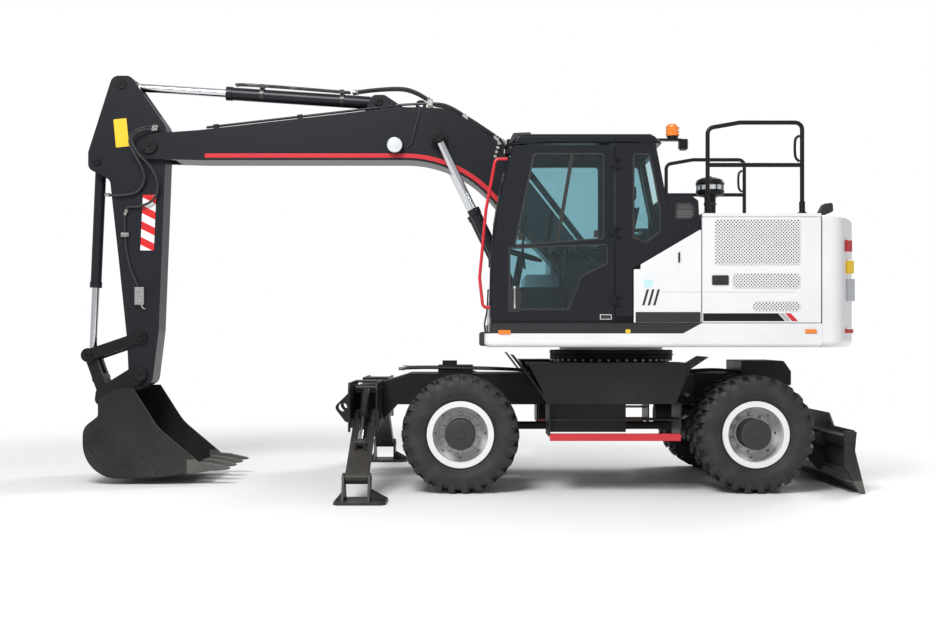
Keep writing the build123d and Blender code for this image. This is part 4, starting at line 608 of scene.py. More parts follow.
def tube(bm, points, radius, steps=12, per_span=7):
    """Round hose along a smooth curve."""
    path = smooth_path(points, per_span)
    ways = [(b - a).normalized() for a, b in zip(path, path[1:])]
    ways.append(ways[-1])
    across = ways[0].orthogonal().normalized()
    rings = []
    for spot, way in zip(path, ways):
        across = (across - way * across.dot(way)).normalized()
        side = way.cross(across)
        rings.append([bm.verts.new(spot + (across * math.cos(t) + side * math.sin(t)) * radius)
                      for t in (2 * math.pi * k / steps for k in range(steps))])
    for low, high in zip(rings, rings[1:]):
        for k in range(steps):
            bm.faces.new([low[k], low[(k + 1) % steps], high[(k + 1) % steps], high[k]])
    bm.faces.new(rings[0])
    bm.faces.new(rings[-1][::-1])
    return path


def fitting(bm, start, way, radius, length=0.06):
    """Crimped sleeve and hex of a hose end."""
    way = Vector(way).normalized()
    lathe(bm, [(0, 0), (radius * 1.3, 0), (radius * 1.3, length * 0.55), (radius * 1.05, length * 0.6),
        (0, length * 0.6)], start, way, 16)
    hex_nut(bm, Vector(start) + way * length * 0.6, way, radius * 2.7, length * 0.3)


def hoses(name, body, routes, radius, other=None):
    """Hoses through listed points with a fitting at both ends, left on no body where a second body is named.
    """
    rubber, metal = bmesh.new(), bmesh.new()
    for route in routes:
        path = tube(rubber, route, radius)
        fitting(metal, path[0], path[1] - path[0], radius)
        fitting(metal, path[-1], path[-2] - path[-1], radius)
    carrier = None if other else body
    made = [piece(name, rubber, carrier, hose_rubber), piece(name + "_fittings", metal, carrier, zinc)]
    if other:
        for one in made:
            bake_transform(one)
    return made


# Feed hoses from behind the boom foot over the boom's back, with pipes on round its bend
hoses("boom_foot_hoses", "boom", [[(-1.06, y, 3.285), (-0.80, y, 2.985), (-0.45, y, 2.535),
    (-0.10, y, 2.095), (0.18, y, 1.86), (0.42, y, 1.68), (0.50, y, 1.52)]
    for y in (-0.13, -0.05, 0.05, 0.13)], 0.015, "upper")
bm = bmesh.new()
for y in (-0.168, 0.168):
    tube(bm, [(-2.09, y, 3.610), (-1.90, y, 3.622), (-1.62, y, 3.618), (-1.38, y, 3.485),
        (-1.16, y * 0.85, 3.345), (-1.05, y * 0.77, 3.27)], 0.012)
for y in (-0.05, 0.05):
    tube(bm, [(-1.74, y, 3.655), (-1.55, y, 3.598), (-1.30, y, 3.432), (-1.05, y, 3.275)], 0.012)
piece("boom_bend_pipes", bm, "boom", black_pipe)
bm = bmesh.new()
for x, z, lean in ((-1.76, 3.625, -0.12), (-1.42, 3.495, -0.62), (-1.12, 3.29, -0.9)):
    for y in (-0.168, -0.05, 0.05, 0.168):
        prism(bm, [(x - 0.025, z - 0.02), (x + 0.025, z - 0.02 + 0.05 * math.tan(lean) * 0.5),
            (x + 0.025, z + 0.03 + 0.05 * math.tan(lean) * 0.5), (x - 0.025, z + 0.03)], y - 0.022, y + 0.022)
        hex_nut(bm, (x, y, z + 0.025), (0, 0, 1), 0.014, 0.008)
for number in range(4):
    hex_nut(bm, (-1.095 - 0.012 * number, -0.200, 3.235 - 0.042 * number), (0, -1, 0), 0.032, 0.03)
    rod(bm, (-1.095 - 0.012 * number, -0.200, 3.235 - 0.042 * number),
        (-1.095 - 0.012 * number, -0.245, 3.235 - 0.042 * number), 0.012, 12)
piece("boom_pipe_clamps", bm, "boom", zinc, 0.001)
hoses("arm_cylinder_hoses", "arm_barrel", [[(-2.52, y, 3.762), (-2.30, y, 3.790), (-2.05, y * 1.3, 3.800),
    (-1.90, y * 1.5, 3.762), (-1.74, y * 1.6, 3.668)] for y in (-0.035, 0.035)], 0.014, "boom")
bm = bmesh.new()
for y in (-0.035, 0.035):
    tube(bm, [(-3.66, y, 3.838), (-3.58, y, 3.842), (-3.2, y, 3.818), (-2.54, y, 3.765)], 0.010)
for x, z in ((-3.40, 3.741), (-2.62, 3.688)):
    lathe(bm, [(0.064, -0.02), (0.068, -0.02), (0.068, 0.02), (0.064, 0.02), (0.064, -0.02)], (x, 0, z),
          (-0.9978, 0, 0.066), 32)
    box(bm, (x - 0.02, -0.05, z + 0.062), (x + 0.02, 0.05, z + 0.10))
piece("arm_cylinder_pipes", bm, "arm_barrel", black_pipe, 0.001)

# Hoses across the arm pivot, one to the bucket cylinder and one to the pipe down the arm
for hand, side in ((-1, "left"), (1, "right")):
    y = 0.236
    hoses("arm_pivot_hoses_" + side, "boom", [[(-4.38, hand * 0.175, 3.405), (-4.50, hand * y, 3.385),
        (-4.605, hand * y, 3.335), (-4.632, hand * y, 3.240), (-4.575, hand * y, 3.115),
        (-4.510, hand * 0.225, 2.985), (-4.508, hand * 0.185, 2.875), (-4.590, hand * 0.172, 2.772),
        (-4.765, hand * 0.165, 2.744), (-4.90, hand * 0.11, 2.758)],
        [(-4.38, hand * 0.20, 3.375), (-4.52, hand * (y + 0.028), 3.352),
        (-4.606, hand * (y + 0.03), 3.270), (-4.540, hand * (y + 0.028), 3.130),
        (-4.430, hand * 0.245, 3.010), (-4.372, hand * 0.215, 2.860), (-4.410, hand * 0.190, 2.710),
        (-4.540, hand * 0.172, 2.640), (-4.665, hand * 0.160, 2.628), (-4.700, hand * 0.158, 2.555)]],
        0.0125, "arm")
bm, metal = bmesh.new(), bmesh.new()
for hand in (-1, 1):
    tube(bm, [(-4.700, hand * 0.158, 2.56), (-4.697, hand * 0.156, 2.36), (-4.672, hand * 0.156, 2.15),
              (-4.630, hand * 0.156, 2.00), (-4.565, hand * 0.158, 1.855)], 0.010)
    for low, high in (((-4.735, 0.141, 2.345), (-4.660, 0.172, 2.385)),
            ((-4.60, 0.141, 1.69), (-4.51, 0.185, 1.86))):
        ys = sorted((hand * low[1], hand * high[1]))
        box(metal, (low[0], ys[0], low[2]), (high[0], ys[1], high[2]))
    for x, z in ((-4.715, 2.365), (-4.678, 2.365), (-4.575, 1.83), (-4.535, 1.78), (-4.555, 1.72)):
        hex_nut(metal, (x, hand * 0.168, z), (0, hand, 0), 0.024, 0.022)
    tube(metal, [(-4.54, hand * 0.175, 1.70), (-4.52, hand * 0.172, 1.66), (-4.50, hand * 0.16, 1.65)], 0.010)
piece("arm_pipes", bm, "arm", black_pipe)
piece("arm_pipe_fittings", metal, "arm", zinc, 0.002)

# Stripe, plates and lamp of the boom and the arm
# A red stripe follows the boom's lower edge. A blank yellow plate and a red and white
# warning panel are stuck on the arm, and a round lamp hangs on the boom.
def rounded(rows, steps=5, closed=True):
    """Outline with rounded corners from rows of (u, v, corner radius)."""
    points = []
    for k, (u, v, radius) in enumerate(rows):
        corner = Vector((u, v))
        if radius == 0 or (not closed and k in (0, len(rows) - 1)):
            points.append(corner)
            continue
        before = (Vector(rows[k - 1][:2]) - corner).normalized()
        after = (Vector(rows[(k + 1) % len(rows)][:2]) - corner).normalized()
        half_angle = before.angle(after) / 2
        centre = corner + (before + after).normalized() * radius / math.sin(half_angle)
        start = corner + before * radius / math.tan(half_angle) - centre
        end = corner + after * radius / math.tan(half_angle) - centre
        first = math.atan2(start.y, start.x)
        sweep = (math.atan2(end.y, end.x) - first + math.pi) % (2 * math.pi) - math.pi
        points += [centre + radius * Vector((math.cos(first + sweep * s / steps),
            math.sin(first + sweep * s / steps))) for s in range(steps + 1)]
    return points


def rectangle(left, low, right, high, radius, steps=5):
    """Outline of a rectangle with rounded corners."""
    return rounded([(left, low, radius), (left, high, radius), (right, high, radius), (right, low, radius)],
        steps)


def moved_out(points, amount, closed=True):
    """Line or outline moved to its left by an amount, point by point."""
    result = []
    for k, point in enumerate(points):
        before = point - points[k - 1] if closed or k else points[1] - points[0]
        after = points[(k + 1) % len(points)] - point if closed or k < len(points) - 1 else before
        before, after = before.normalized(), after.normalized()
        normal = Vector((-before.y - after.y, before.x + after.x)).normalized()
        result.append(point + normal * amount / max(0.4, normal.dot(Vector((-before.y, before.x)))))
    return result


def strip(bm, first, second, low, high, closed=False):
    """Solid between two lines with as many points, over a depth along Y."""
    count = len(first)
    rows = [[bm.verts.new((p.x, y, p.y)) for p in line] for line, y in
            ((first, low), (second, low), (second, high), (first, high))]
    for a, b in zip(rows, rows[1:] + rows[:1]):
        for k in range(count if closed else count - 1):
            after = (k + 1) % count
            bm.faces.new([a[k], a[after], b[after], b[k]])
    if not closed:
        for k in (0, count - 1):
            bm.faces.new([row[k] for row in rows])


BOOM_EDGE = rounded([
    (-3.92, 3.079, 0), (-1.50, 3.079, 1.1), (-1.117, 2.640, 0.1), (-0.42, 1.903, 0)], 10, closed=False)
bm = bmesh.new()
for low, high in ((-0.2016, -0.2003), (0.2003, 0.2016)):
    strip(bm, moved_out(BOOM_EDGE, 0.022, False), moved_out(BOOM_EDGE, 0.064, False), low, high)
piece("boom_stripe", bm, "boom", red_paint)
bm = bmesh.new()
rows = [(-4.815, 3.480, 0.008), (-4.690, 3.492, 0.008), (-4.662, 3.222, 0.008), (-4.790, 3.208, 0.008)]
plate = rounded(rows, 4)
for low, high in ((-0.1425, -0.1402), (0.1402, 0.1425)):
    prism(bm, plate, low, high)
piece("arm_blank_plate", bm, "arm", yellow_paint, 0.0006)
chevron = paint("warning_panel", (0.78, 0.78, 0.77), 0.3, 0.03, edge=0.001)
tree = chevron.node_tree
spot = node(tree, "ShaderNodeTexCoord").outputs["Object"]
lean = node(tree, "ShaderNodeVectorMath", {"operation": "DOT_PRODUCT"}, {1: (0.45, 0, 0.893)},
    _0=spot).outputs["Value"]
wave = math_node(tree, "FRACT", math_node(tree, "MULTIPLY_ADD", lean, -7.2, 0.35))
worked = next(n for n in tree.nodes if n.type == "GROUP")
tree.links.new(mixed(tree, math_node(tree, "LESS_THAN", wave, 0.5), (0.78, 0.78, 0.77, 1),
    (0.62, 0.015, 0.015, 1)), worked.inputs["Paint"])
bm = bmesh.new()
for low, high in ((-0.1425, -0.1402), (0.1402, 0.1425)):
    prism(bm, rounded([(-4.530, 2.752, 0.006), (-4.402, 2.752, 0.006), (-4.424, 2.216, 0.006),
        (-4.556, 2.216, 0.006)], 4), low, high)
piece("arm_warning_panel", bm, "arm", chevron, 0.0006)
bm, lens = bmesh.new(), bmesh.new()
LAMP_X, LAMP_Z = -2.094, 3.215
lathe(bm, [(0.077, -0.012), (0.080, -0.008), (0.080, 0.006), (0.072, 0.008), (0.072, -0.004)],
    (LAMP_X, -0.262, LAMP_Z), (0, -1, 0), 40)
for k in range(6):
    lathe(bm, [(0.074, -0.003), (0.078, -0.003), (0.078, 0.001), (0.074, 0.001)],
        (LAMP_X, -0.206 - 0.008 * k, LAMP_Z), (0, -1, 0), 40)
tube(bm, [(-1.98, -0.205, 3.20), (-1.93, -0.21, 3.25), (-1.90, -0.21, 3.38), (-1.865, -0.206, 3.52),
    (-1.86, -0.19, 3.60)], 0.008)
lathe(lens, [(0, 0), (0.071, 0), (0.071, 0.004), (0.05, 0.009), (0, 0.012)], (LAMP_X, -0.2645, LAMP_Z),
    (0, -1, 0), 40)
piece("boom_lamp_body", bm, "boom", black_plastic)
piece("boom_lamp_lens", lens, "boom", clear_lens)

# Cab outside
# Rubber seals round the panes, a slanted divider with two latches, a recessed door handle, the
# roof's seam strip, lamp shields and knobs, a gutter, a rear vent, blank plates and side markers,
# the ribbed horn box beside the cab's foot, and the front wiper.
SIDE_Y = -1.250
DOOR_UPPER = [(-0.985, 2.180, 0.02), (-0.815, 2.985, 0.03), (-0.205, 2.985, 0.03), (-0.205, 2.240, 0.02)]
DOOR_LOWER = [(-1.030, 1.620, 0.02), (-1.030, 2.160, 0.02), (-0.175, 2.190, 0.02), (-0.175, 2.020, 0.03),
              (-0.400, 1.910, 0.06), (-0.510, 1.620, 0.02)]
QUARTER = [(0.056, 2.250, 0.02), (0.056, 2.980, 0.02), (0.196, 2.980, 0.02), (0.240, 2.780, 0.03),
           (0.290, 2.500, 0.03), (0.290, 2.300, 0.04), (0.165, 2.205, 0.02)]
for name, body, rows in (("upper_pane_seal", "cab_door", DOOR_UPPER),
        ("lower_pane_seal", "cab_door", DOOR_LOWER), ("quarter_pane_seal", "upper", QUARTER)):
    bm = bmesh.new()
    line = rounded(rows, 6)
    strip(bm, moved_out(line, -0.009), moved_out(line, 0.007), SIDE_Y - 0.004, SIDE_Y + 0.012, closed=True)
    piece(name, bm, body, black_plastic, 0.0015)
bm = bmesh.new()
prism(bm, [(-0.495, 2.980), (-0.468, 2.980), (-0.600, 2.205), (-0.627, 2.205)], -1.2475, -1.229)
prism(bm, [(-0.470, 2.980), (-0.462, 2.980), (-0.594, 2.205), (-0.602, 2.205)], -1.2440, -1.238)
for x, z in ((-0.935, 2.262), (-0.270, 2.285)):
    prism(bm, rounded([(x - 0.022, z - 0.032, 0.006), (x - 0.018, z + 0.03, 0.006),
        (x + 0.022, z + 0.03, 0.006), (x + 0.020, z - 0.032, 0.006)]), -1.246, -1.2385)
piece("sliding_pane_frame", bm, "cab_door", black_plastic, 0.001)
bm, lever = bmesh.new(), bmesh.new()
recess = rounded([(-1.043, 1.595, 0.02), (-1.043, 1.830, 0.03), (-0.935, 1.830, 0.03), (-0.925, 1.700, 0.05),
                  (-0.940, 1.595, 0.02)], 6)
strip(bm, recess, moved_out(recess, -0.010), SIDE_Y - 0.006, SIDE_Y + 0.002, closed=True)
prism(bm, moved_out(recess, -0.008), SIDE_Y - 0.0012, SIDE_Y + 0.001)
tube(lever, [(-0.985, -1.252, 1.812), (-0.985, -1.262, 1.795), (-0.985, -1.262, 1.66),
    (-0.983, -1.256, 1.63)], 0.008, 10)
lathe(lever, [(0, 0), (0.013, 0), (0.013, 0.006), (0.009, 0.009), (0, 0.009)], (-0.985, -1.2510, 1.812),
    (0, -1, 0), 20)
piece("door_handle_recess", bm, "cab_door", black_plastic, 0.001)
piece("door_handle_lever", lever, "cab_door", chrome)
for name, body, rows, finish, depth in (
        ("blank_plate_border", "cab_door", (-0.237, 1.533, -0.135, 1.577), white_paint, 0.0012),
        ("blank_plate_face", "cab_door", (-0.232, 1.538, -0.140, 1.572), black_plastic, 0.0018),
        ("front_side_marker", "upper", (-1.128, 1.402, -1.020, 1.440), amber, 0.008),
        ("rear_side_marker", "upper", (1.560, 1.412, 1.660, 1.447), amber, 0.008),
        ("small_yellow_plate", "upper", (-0.013, 1.412, 0.030, 1.446), yellow_paint, 0.0012),
        ("pale_blue_plate", "left_service_door", (0.147, 1.818, 0.226, 1.884),
         paint("pale_blue_plate", (0.48, 0.70, 0.72), 0.35, 0.03, edge=0.001), 0.0012)):
    bm = bmesh.new()
    x0, z0, x1, z1 = rows
    outline = rectangle(x0, z0, x1, z1, 0.006)
    prism(bm, outline, SIDE_Y - depth, SIDE_Y + 0.003)
    if name.endswith("marker"):
        prism(bm, outline, -SIDE_Y - 0.003, -SIDE_Y + depth)
    piece(name, bm, body, finish, min(0.002, depth * 0.4))
bm = bmesh.new()
prism(bm, [(-0.111, 3.146), (-0.099, 3.146), (-0.099, 3.1545), (-0.111, 3.1545)], -1.236, -0.368)
for y0, y1 in ((-1.236, -1.222), (-0.382, -0.368)):
    prism(bm, [(-0.93, 3.148), (0.22, 3.148), (0.22, 3.160), (-0.92, 3.160)], y0, y1)
ROOF_KNOB_X = (-0.771, -0.228, 0.193)
for x in ROOF_KNOB_X:
    for y in (-1.17, -0.44):
        lathe(bm, [(0, -0.002), (0.017, -0.002), (0.017, 0.008), (0.010, 0.02), (0, 0.023)], (x, y, 3.149),
            (0, 0, 1), 20)
for y0, y1 in ((-1.238, -1.10), (-0.51, -0.372)):
    prism(bm, rounded([(-1.040, 3.082, 0.01), (-0.995, 3.170, 0.02), (-0.845, 3.176, 0.01),
        (-0.835, 3.151, 0.004), (-0.950, 3.146, 0.01), (-1.005, 3.085, 0.01)]), y0, y1)
prism(bm, [(-0.70, 3.149), (-0.20, 3.149), (-0.22, 3.166), (-0.68, 3.166)], -1.05, -0.55)
piece("roof_trim", bm, "upper", black_plastic, 0.003)
bm = bmesh.new()
tube(bm, [(-1.005, -1.246, 3.072), (-0.60, -1.250, 3.098), (-0.10, -1.250, 3.100), (0.24, -1.248, 3.082)],
    0.006, 8)
piece("roof_gutter", bm, "upper", graphite_paint)
bm, bars = bmesh.new(), bmesh.new()
vent = rounded([(0.418, 2.408, 0.02), (0.418, 2.556, 0.02), (0.555, 2.556, 0.03), (0.596, 2.515, 0.02),
                (0.596, 2.450, 0.03), (0.556, 2.408, 0.03)], 5)
strip(bm, vent, moved_out(vent, -0.012), SIDE_Y - 0.008, SIDE_Y + 0.002, closed=True)
prism(bm, moved_out(vent, -0.01), SIDE_Y - 0.001, SIDE_Y + 0.002)
VENT_BARS, VENT_BAR_PITCH = 4, 0.017
for k in range(VENT_BARS):
    z = 2.428 + VENT_BAR_PITCH * k
    box(bars, (0.436, SIDE_Y - 0.006, z), (0.572, SIDE_Y, z + 0.007))
for row in range(4):
    for column in range(8):
        spot = (0.446 + 0.0165 * column + 0.004 * (row % 2), SIDE_Y - 0.0005, 2.500 + 0.013 * row)
        lathe(bars, [(0, 0), (0.0045, 0), (0.0045, 0.004), (0, 0.005)], spot, (0, -1, 0), 8)
piece("rear_vent_frame", bm, "upper", black_plastic, 0.001)
piece("rear_vent_bars", bars, "upper", paint("grey_plastic", (0.16, 0.15, 0.15), 0.5, 0.1, edge=0.001))
bm = bmesh.new()
prism(bm, rounded([(-1.292, 1.300, 0.02), (-1.292, 1.425, 0.02), (-1.206, 1.425, 0.01),
    (-1.206, 1.300, 0.01)]), -1.17, -1.02)
for k in range(5):
    box(bm, (-1.296, -1.16, 1.315 + 0.021 * k), (-1.288, -1.03, 1.325 + 0.021 * k))
tube(bm, [(-1.24, -1.10, 1.42), (-1.245, -1.12, 1.50), (-1.225, -1.16, 1.62), (-1.215, -1.17, 1.80)], 0.008,
    8)
piece("horn_box", bm, "upper", black_plastic, 0.002)
bm = bmesh.new()
tube(bm, [(-1.178, -0.72, 2.10), (-1.150, -0.78, 2.45), (-1.085, -0.90, 2.78)], 0.007, 8)
tube(bm, [(-1.160, -0.95, 2.38), (-1.118, -0.87, 2.62), (-1.062, -0.79, 2.88)], 0.010, 8)
box(bm, (-1.205, -0.76, 2.02), (-1.180, -0.68, 2.12))
piece("front_wiper", bm, "upper", black_plastic, 0.001)

# Side doors and hood
# The grilles are fine perforated sheet, held by a rounded seam. The engine door has a black
# latch, a black stripe with grey and red ends, and a pressed crease that runs on to the cover.
HOLES_PER_METRE = 34.0
HOLE_SHARE = 0.098
SHEET_WHITE = (0.74, 0.74, 0.73)
# The holes are not cut: each one is a dark dot of painted shade standing for the unlit space behind the sheet.
HOLE_SHADE_COLOUR = (0.012, 0.012, 0.012)
perforated = paint("perforated_sheet", SHEET_WHITE, 0.35, 0.05, edge=0.001)
tree = perforated.node_tree
spot = node(tree, "ShaderNodeTexCoord").outputs["Object"]
turned = node(tree, "ShaderNodeVectorMath", {"operation": "MULTIPLY"},
    {1: (HOLES_PER_METRE, 0, HOLES_PER_METRE)}, _0=spot).outputs[0]
parts = node(tree, "ShaderNodeSeparateXYZ", _0=turned).outputs
first = math_node(tree, "ADD", parts["X"], parts["Z"])
second = math_node(tree, "SUBTRACT", parts["X"], parts["Z"])
squares = [math_node(tree, "POWER", math_node(tree, "SUBTRACT", math_node(tree, "FRACT", part), 0.5), 2.0)
           for part in (first, second)]
# Where a hole falls, the sheet takes the painted shade colour.
hole_shade_mask = math_node(tree, "LESS_THAN", math_node(tree, "ADD", *squares), HOLE_SHARE)
worked = next(n for n in tree.nodes if n.type == "GROUP")
tree.links.new(mixed(tree, hole_shade_mask, (*SHEET_WHITE, 1), (*HOLE_SHADE_COLOUR, 1)), worked.inputs["Paint"])
GRILLES = ((0.771, 1.515, 2.015, 2.405, 0.02), (0.928, 1.515, 1.809, 1.932, 0.03),
    (1.104, 1.515, 1.611, 1.686, 0.036))
STRIPE_LOW, STRIPE_HIGH = 1.518, 1.587
FILM = 0.0012
CREASE_LOW, CREASE_HIGH = 1.772, 1.784
door_grey = paint("stripe_grey", (0.40, 0.40, 0.41), 0.35, 0.04, edge=0.001)
for side, hand in (("left", -1), ("right", 1)):
    body = side + "_engine_door"
    face = -hand * SIDE_Y

    def layer(bm, outline, thick, sunk=0.001):
        prism(bm, outline, *sorted((face - hand * sunk, face + hand * thick)))

    sheet, seam, latch, stripe, grey, red = (bmesh.new() for _ in range(6))
    for x0, x1, z0, z1, radius in GRILLES:  # left, right, low, high, corner radius
        line = rectangle(x0, z0, x1, z1, radius, 6)
        layer(sheet, line, 0.0016)
        strip(seam, moved_out(line, 0.0), moved_out(line, 0.007), *sorted((face, face + hand * 0.003)),
            closed=True)
    layer(latch, rectangle(0.744, 1.835, 0.890, 1.920, 0.01), 0.008)
    lathe(latch, [(0, 0), (0.016, 0), (0.014, 0.006), (0.006, 0.007), (0, 0.004)],
        (0.816, face + hand * 0.008, 1.878), (0, hand, 0), 20)
    tube(latch, [(0.770, face + hand * 0.010, 1.856), (0.816, face + hand * 0.014, 1.850),
        (0.862, face + hand * 0.010, 1.856)], 0.005, 8)
    layer(stripe, [(0.667, STRIPE_LOW), (0.667, STRIPE_HIGH), (1.322, STRIPE_HIGH), (1.385, STRIPE_LOW)],
        FILM)
    layer(grey, [(1.332, STRIPE_HIGH), (1.372, STRIPE_HIGH), (1.436, STRIPE_LOW), (1.395, STRIPE_LOW)], FILM)
    layer(red, [(1.384, STRIPE_HIGH), (1.434, STRIPE_HIGH), (1.498, STRIPE_LOW), (1.446, STRIPE_LOW)], FILM)
    layer(seam, [(0.664, CREASE_LOW), (0.664, CREASE_HIGH), (1.44, CREASE_HIGH), (1.47, CREASE_LOW)], 0.003)
    piece(side + "_grille_sheets", sheet, body, perforated)
    piece(side + "_grille_seams", seam, body, white_paint, 0.001)
    piece(side + "_door_latch", latch, body, black_plastic, 0.002)
    piece(side + "_door_stripe", stripe, body, black_paint)
    piece(side + "_door_stripe_grey", grey, body, door_grey)
    piece(side + "_door_stripe_red", red, body, red_paint)
bm, white = bmesh.new(), bmesh.new()
for x in (0.140, 0.188, 0.236):
    prism(bm, [(x - 0.008, 1.657), (x + 0.012, 1.657), (x + 0.052, 1.797), (x + 0.032, 1.797)], -1.2525,
        -1.249)
prism(bm, rectangle(0.448, 2.030, 0.466, 2.122, 0.009), -1.2525, -1.249)
box(bm, (0.075, -1.2515, 1.506), (0.644, -1.249, 1.598))
lathe(bm, [(0, 0), (0.006, 0), (0.006, 0.003), (0, 0.003)], (0.457, -1.2525, 2.06), (0, -1, 0), 12)
keyhole = rectangle(0.438, 2.02, 0.476, 2.132, 0.018)
strip(white, keyhole, moved_out(keyhole, 0.004), -1.2520, -1.249, closed=True)
prism(white, [(0.30, CREASE_LOW), (0.33, CREASE_HIGH), (0.648, CREASE_HIGH), (0.648, CREASE_LOW)], -1.253,
    -1.249)
piece("service_door_marks", bm, "left_service_door", black_plastic)
piece("service_door_pressings", white, "left_service_door", white_paint, 0.001)

# Counterweight and hood top
# Lamps, reflectors and a grey patch of painted shade where the grip sits on both rear corners, two work lamps
# and lifting eyes on the counterweight, grip sheet and louvres on the hood, treads, caps and door seams of the
# tanks on the right, loops on the handrails, and ribs on the precleaner, the beacon and the work lamps.
CORNER_WAY = (0.62, 0.785)
lamps_red, reflectors, grip_shade_sheet, fittings, work = (bmesh.new() for _ in range(5))
for hand in (-1, 1):
    for bm, (x, y, z0, z1, wide) in (  # centre, low, high, half width
            (lamps_red, (1.985, 1.105, 2.135, 2.240, 0.040)), (reflectors, (2.01, 1.07, 1.945, 2.060, 0.042)),
            (lamps_red, (1.995, 1.085, 1.413, 1.452, 0.050)), (grip_shade_sheet, (2.02, 1.05, 1.700, 1.900, 0.05))):
        way = Vector((CORNER_WAY[0], hand * CORNER_WAY[1], 0)).normalized()
        along = Vector((way.y, -way.x, 0))
        centre = Vector((x, hand * y, 0))
        corners = []
        for out_by in (-0.03, 0.012):
            corners.append([bm.verts.new(centre + along * s * wide + way * out_by + Vector((0, 0, z)))
                            for s, z in ((-1, z0), (1, z0), (1, z1), (-1, z1))])
        bm.faces.new(corners[0])
        bm.faces.new(corners[1][::-1])
        for k in range(4):
            bm.faces.new([corners[0][k], corners[0][(k + 1) % 4], corners[1][(k + 1) % 4], corners[1][k]])
for x, y in ((1.83, -0.62), (1.83, 0.62)):
    tube(fittings, [(x - 0.05, y, 2.44), (x - 0.05, y, 2.485), (x, y, 2.515), (x + 0.05, y, 2.485),
        (x + 0.05, y, 2.44)], 0.014)
for y in (-0.95, 0.95):
    box(work, (1.745, y - 0.05, 2.452), (1.765, y + 0.05, 2.474))
    prism(work, rounded([(1.745, 2.470, 0.01), (1.80, 2.575, 0.02), (1.875, 2.585, 0.02),
        (1.880, 2.505, 0.02), (1.80, 2.470, 0.01)]), y - 0.055, y + 0.055)
piece("rear_lamps", lamps_red, "upper", red_lens, 0.004)
piece("rear_reflectors", reflectors, "upper", yellow_paint, 0.004)
# The grey on both rear corners is painted shade at the grip, a thin sheet in a mid grey, not a grey part.
piece("rear_grip_shade", grip_shade_sheet, "upper", paint("grip_painted_shade", (0.42, 0.43, 0.45), 0.4, 0.05), 0.006)
piece("counterweight_eyes", fittings, "upper", black_paint)
piece("rear_work_lamps", work, "upper", black_plastic, 0.003)
bm = bmesh.new()
box(bm, (0.70, -0.30, 2.466), (0.92, 0.86, 2.470))
GRIP_ROWS, GRIP_COLUMNS = 30, 7
for column in range(GRIP_COLUMNS):
    for row in range(GRIP_ROWS):
        spot = (0.725 + 0.029 * column, -0.275 + 0.0385 * row, 2.470)
        lathe(bm, [(0, 0), (0.009, 0), (0.007, 0.003), (0, 0.003)], spot, (0, 0, 1), 8)
piece("hood_grip_sheet", bm, "upper", bright_steel)
bm = bmesh.new()
LOUVRES, LOUVRE_PITCH = 8, 0.07
for k in range(LOUVRES):
    x = 1.02 + LOUVRE_PITCH * k
    prism(bm, [(x, 2.478), (x + 0.03, 2.478), (x + 0.025, 2.486), (x + 0.005, 2.486)], -0.36, 0.80)
for y in (-0.35, 0.78):
    box(bm, (0.945, y - 0.03, 2.44), (0.955, y + 0.03, 2.475))
piece("hood_lid_louvres", bm, "engine_hood", white_paint, 0.002)
bm, caps = bmesh.new(), bmesh.new()
TREAD_PITCH, TREAD_ROWS = 0.04, 17
for x0, x1, z in ((-1.17, -0.84, 1.760), (-0.80, -0.58, 2.010)):
    box(bm, (x0, 0.50, z), (x1, 1.20, z + 0.004))
    for column in range(int((x1 - x0) / TREAD_PITCH)):
        for row in range(TREAD_ROWS):
            spot = (x0 + 0.025 + TREAD_PITCH * column, 0.52 + TREAD_PITCH * row, z + 0.004)
            lathe(bm, [(0, 0), (0.011, 0), (0.008, 0.004), (0, 0.004)], spot, (0, 0, 1), 8)
for x, y in ((-0.40, 1.05), (-0.15, 0.72)):
    lathe(caps, [(0, 0), (0.062, 0), (0.062, 0.010), (0.052, 0.014), (0.052, 0.045), (0.046, 0.052),
        (0, 0.054)], (x, y, 2.230), (0, 0, 1), 32)
    box(caps, (x - 0.040, y - 0.008, 2.28), (x + 0.040, y + 0.008, 2.294))
SEAM_LOW = 1.54
for x0, x1, z1 in ((-1.15, -0.86, 1.72), (-0.78, -0.30, 1.96), (-0.25, 0.02, 2.18), (0.10, 0.62, 2.33)):
    line = rectangle(x0, SEAM_LOW, x1, z1, 0.02, 4)
    strip(bm, line, moved_out(line, -0.006), 1.249, 1.253, closed=True)
    lathe(caps, [(0, 0), (0.02, 0), (0.018, 0.008), (0.008, 0.009), (0, 0.006)],
        (x1 - 0.05, 1.250, (SEAM_LOW + z1) / 2), (0, 1, 0), 20)
piece("right_step_treads", bm, "upper", bright_steel)
piece("tank_caps", caps, "upper", black_plastic, 0.002)
RAIL_Y = 1.15
RAIL_FEET_X = (0.725, 1.560)
bm = bmesh.new()
for hand in (-1, 1):
    tube(bm, [(1.535, hand * RAIL_Y, 3.16), (1.50, hand * RAIL_Y, 3.12), (1.50, hand * RAIL_Y, 2.98),
        (1.535, hand * RAIL_Y, 2.93)], 0.012)
    for x in RAIL_FEET_X:
        for turn in range(4):
            angle = math.pi * (turn + 0.5) / 2
            hex_nut(bm, (x + 0.033 * math.cos(angle), hand * RAIL_Y + 0.033 * math.sin(angle), 2.478),
                (0, 0, 1), 0.012, 0.007)
piece("hand_loops", bm, "upper", black_paint)
bm = bmesh.new()
STACK_X, STACK_Y = 0.853, -0.600
STACK_RIBS, STACK_RIB_CIRCLE = 10, 0.121
for k in range(STACK_RIBS):
    angle = 2 * math.pi * k / STACK_RIBS
    x = STACK_X + STACK_RIB_CIRCLE * math.cos(angle)
    y = STACK_Y + STACK_RIB_CIRCLE * math.sin(angle)
    box(bm, (x - 0.006, y - 0.006, 2.742), (x + 0.006, y + 0.006, 2.784))
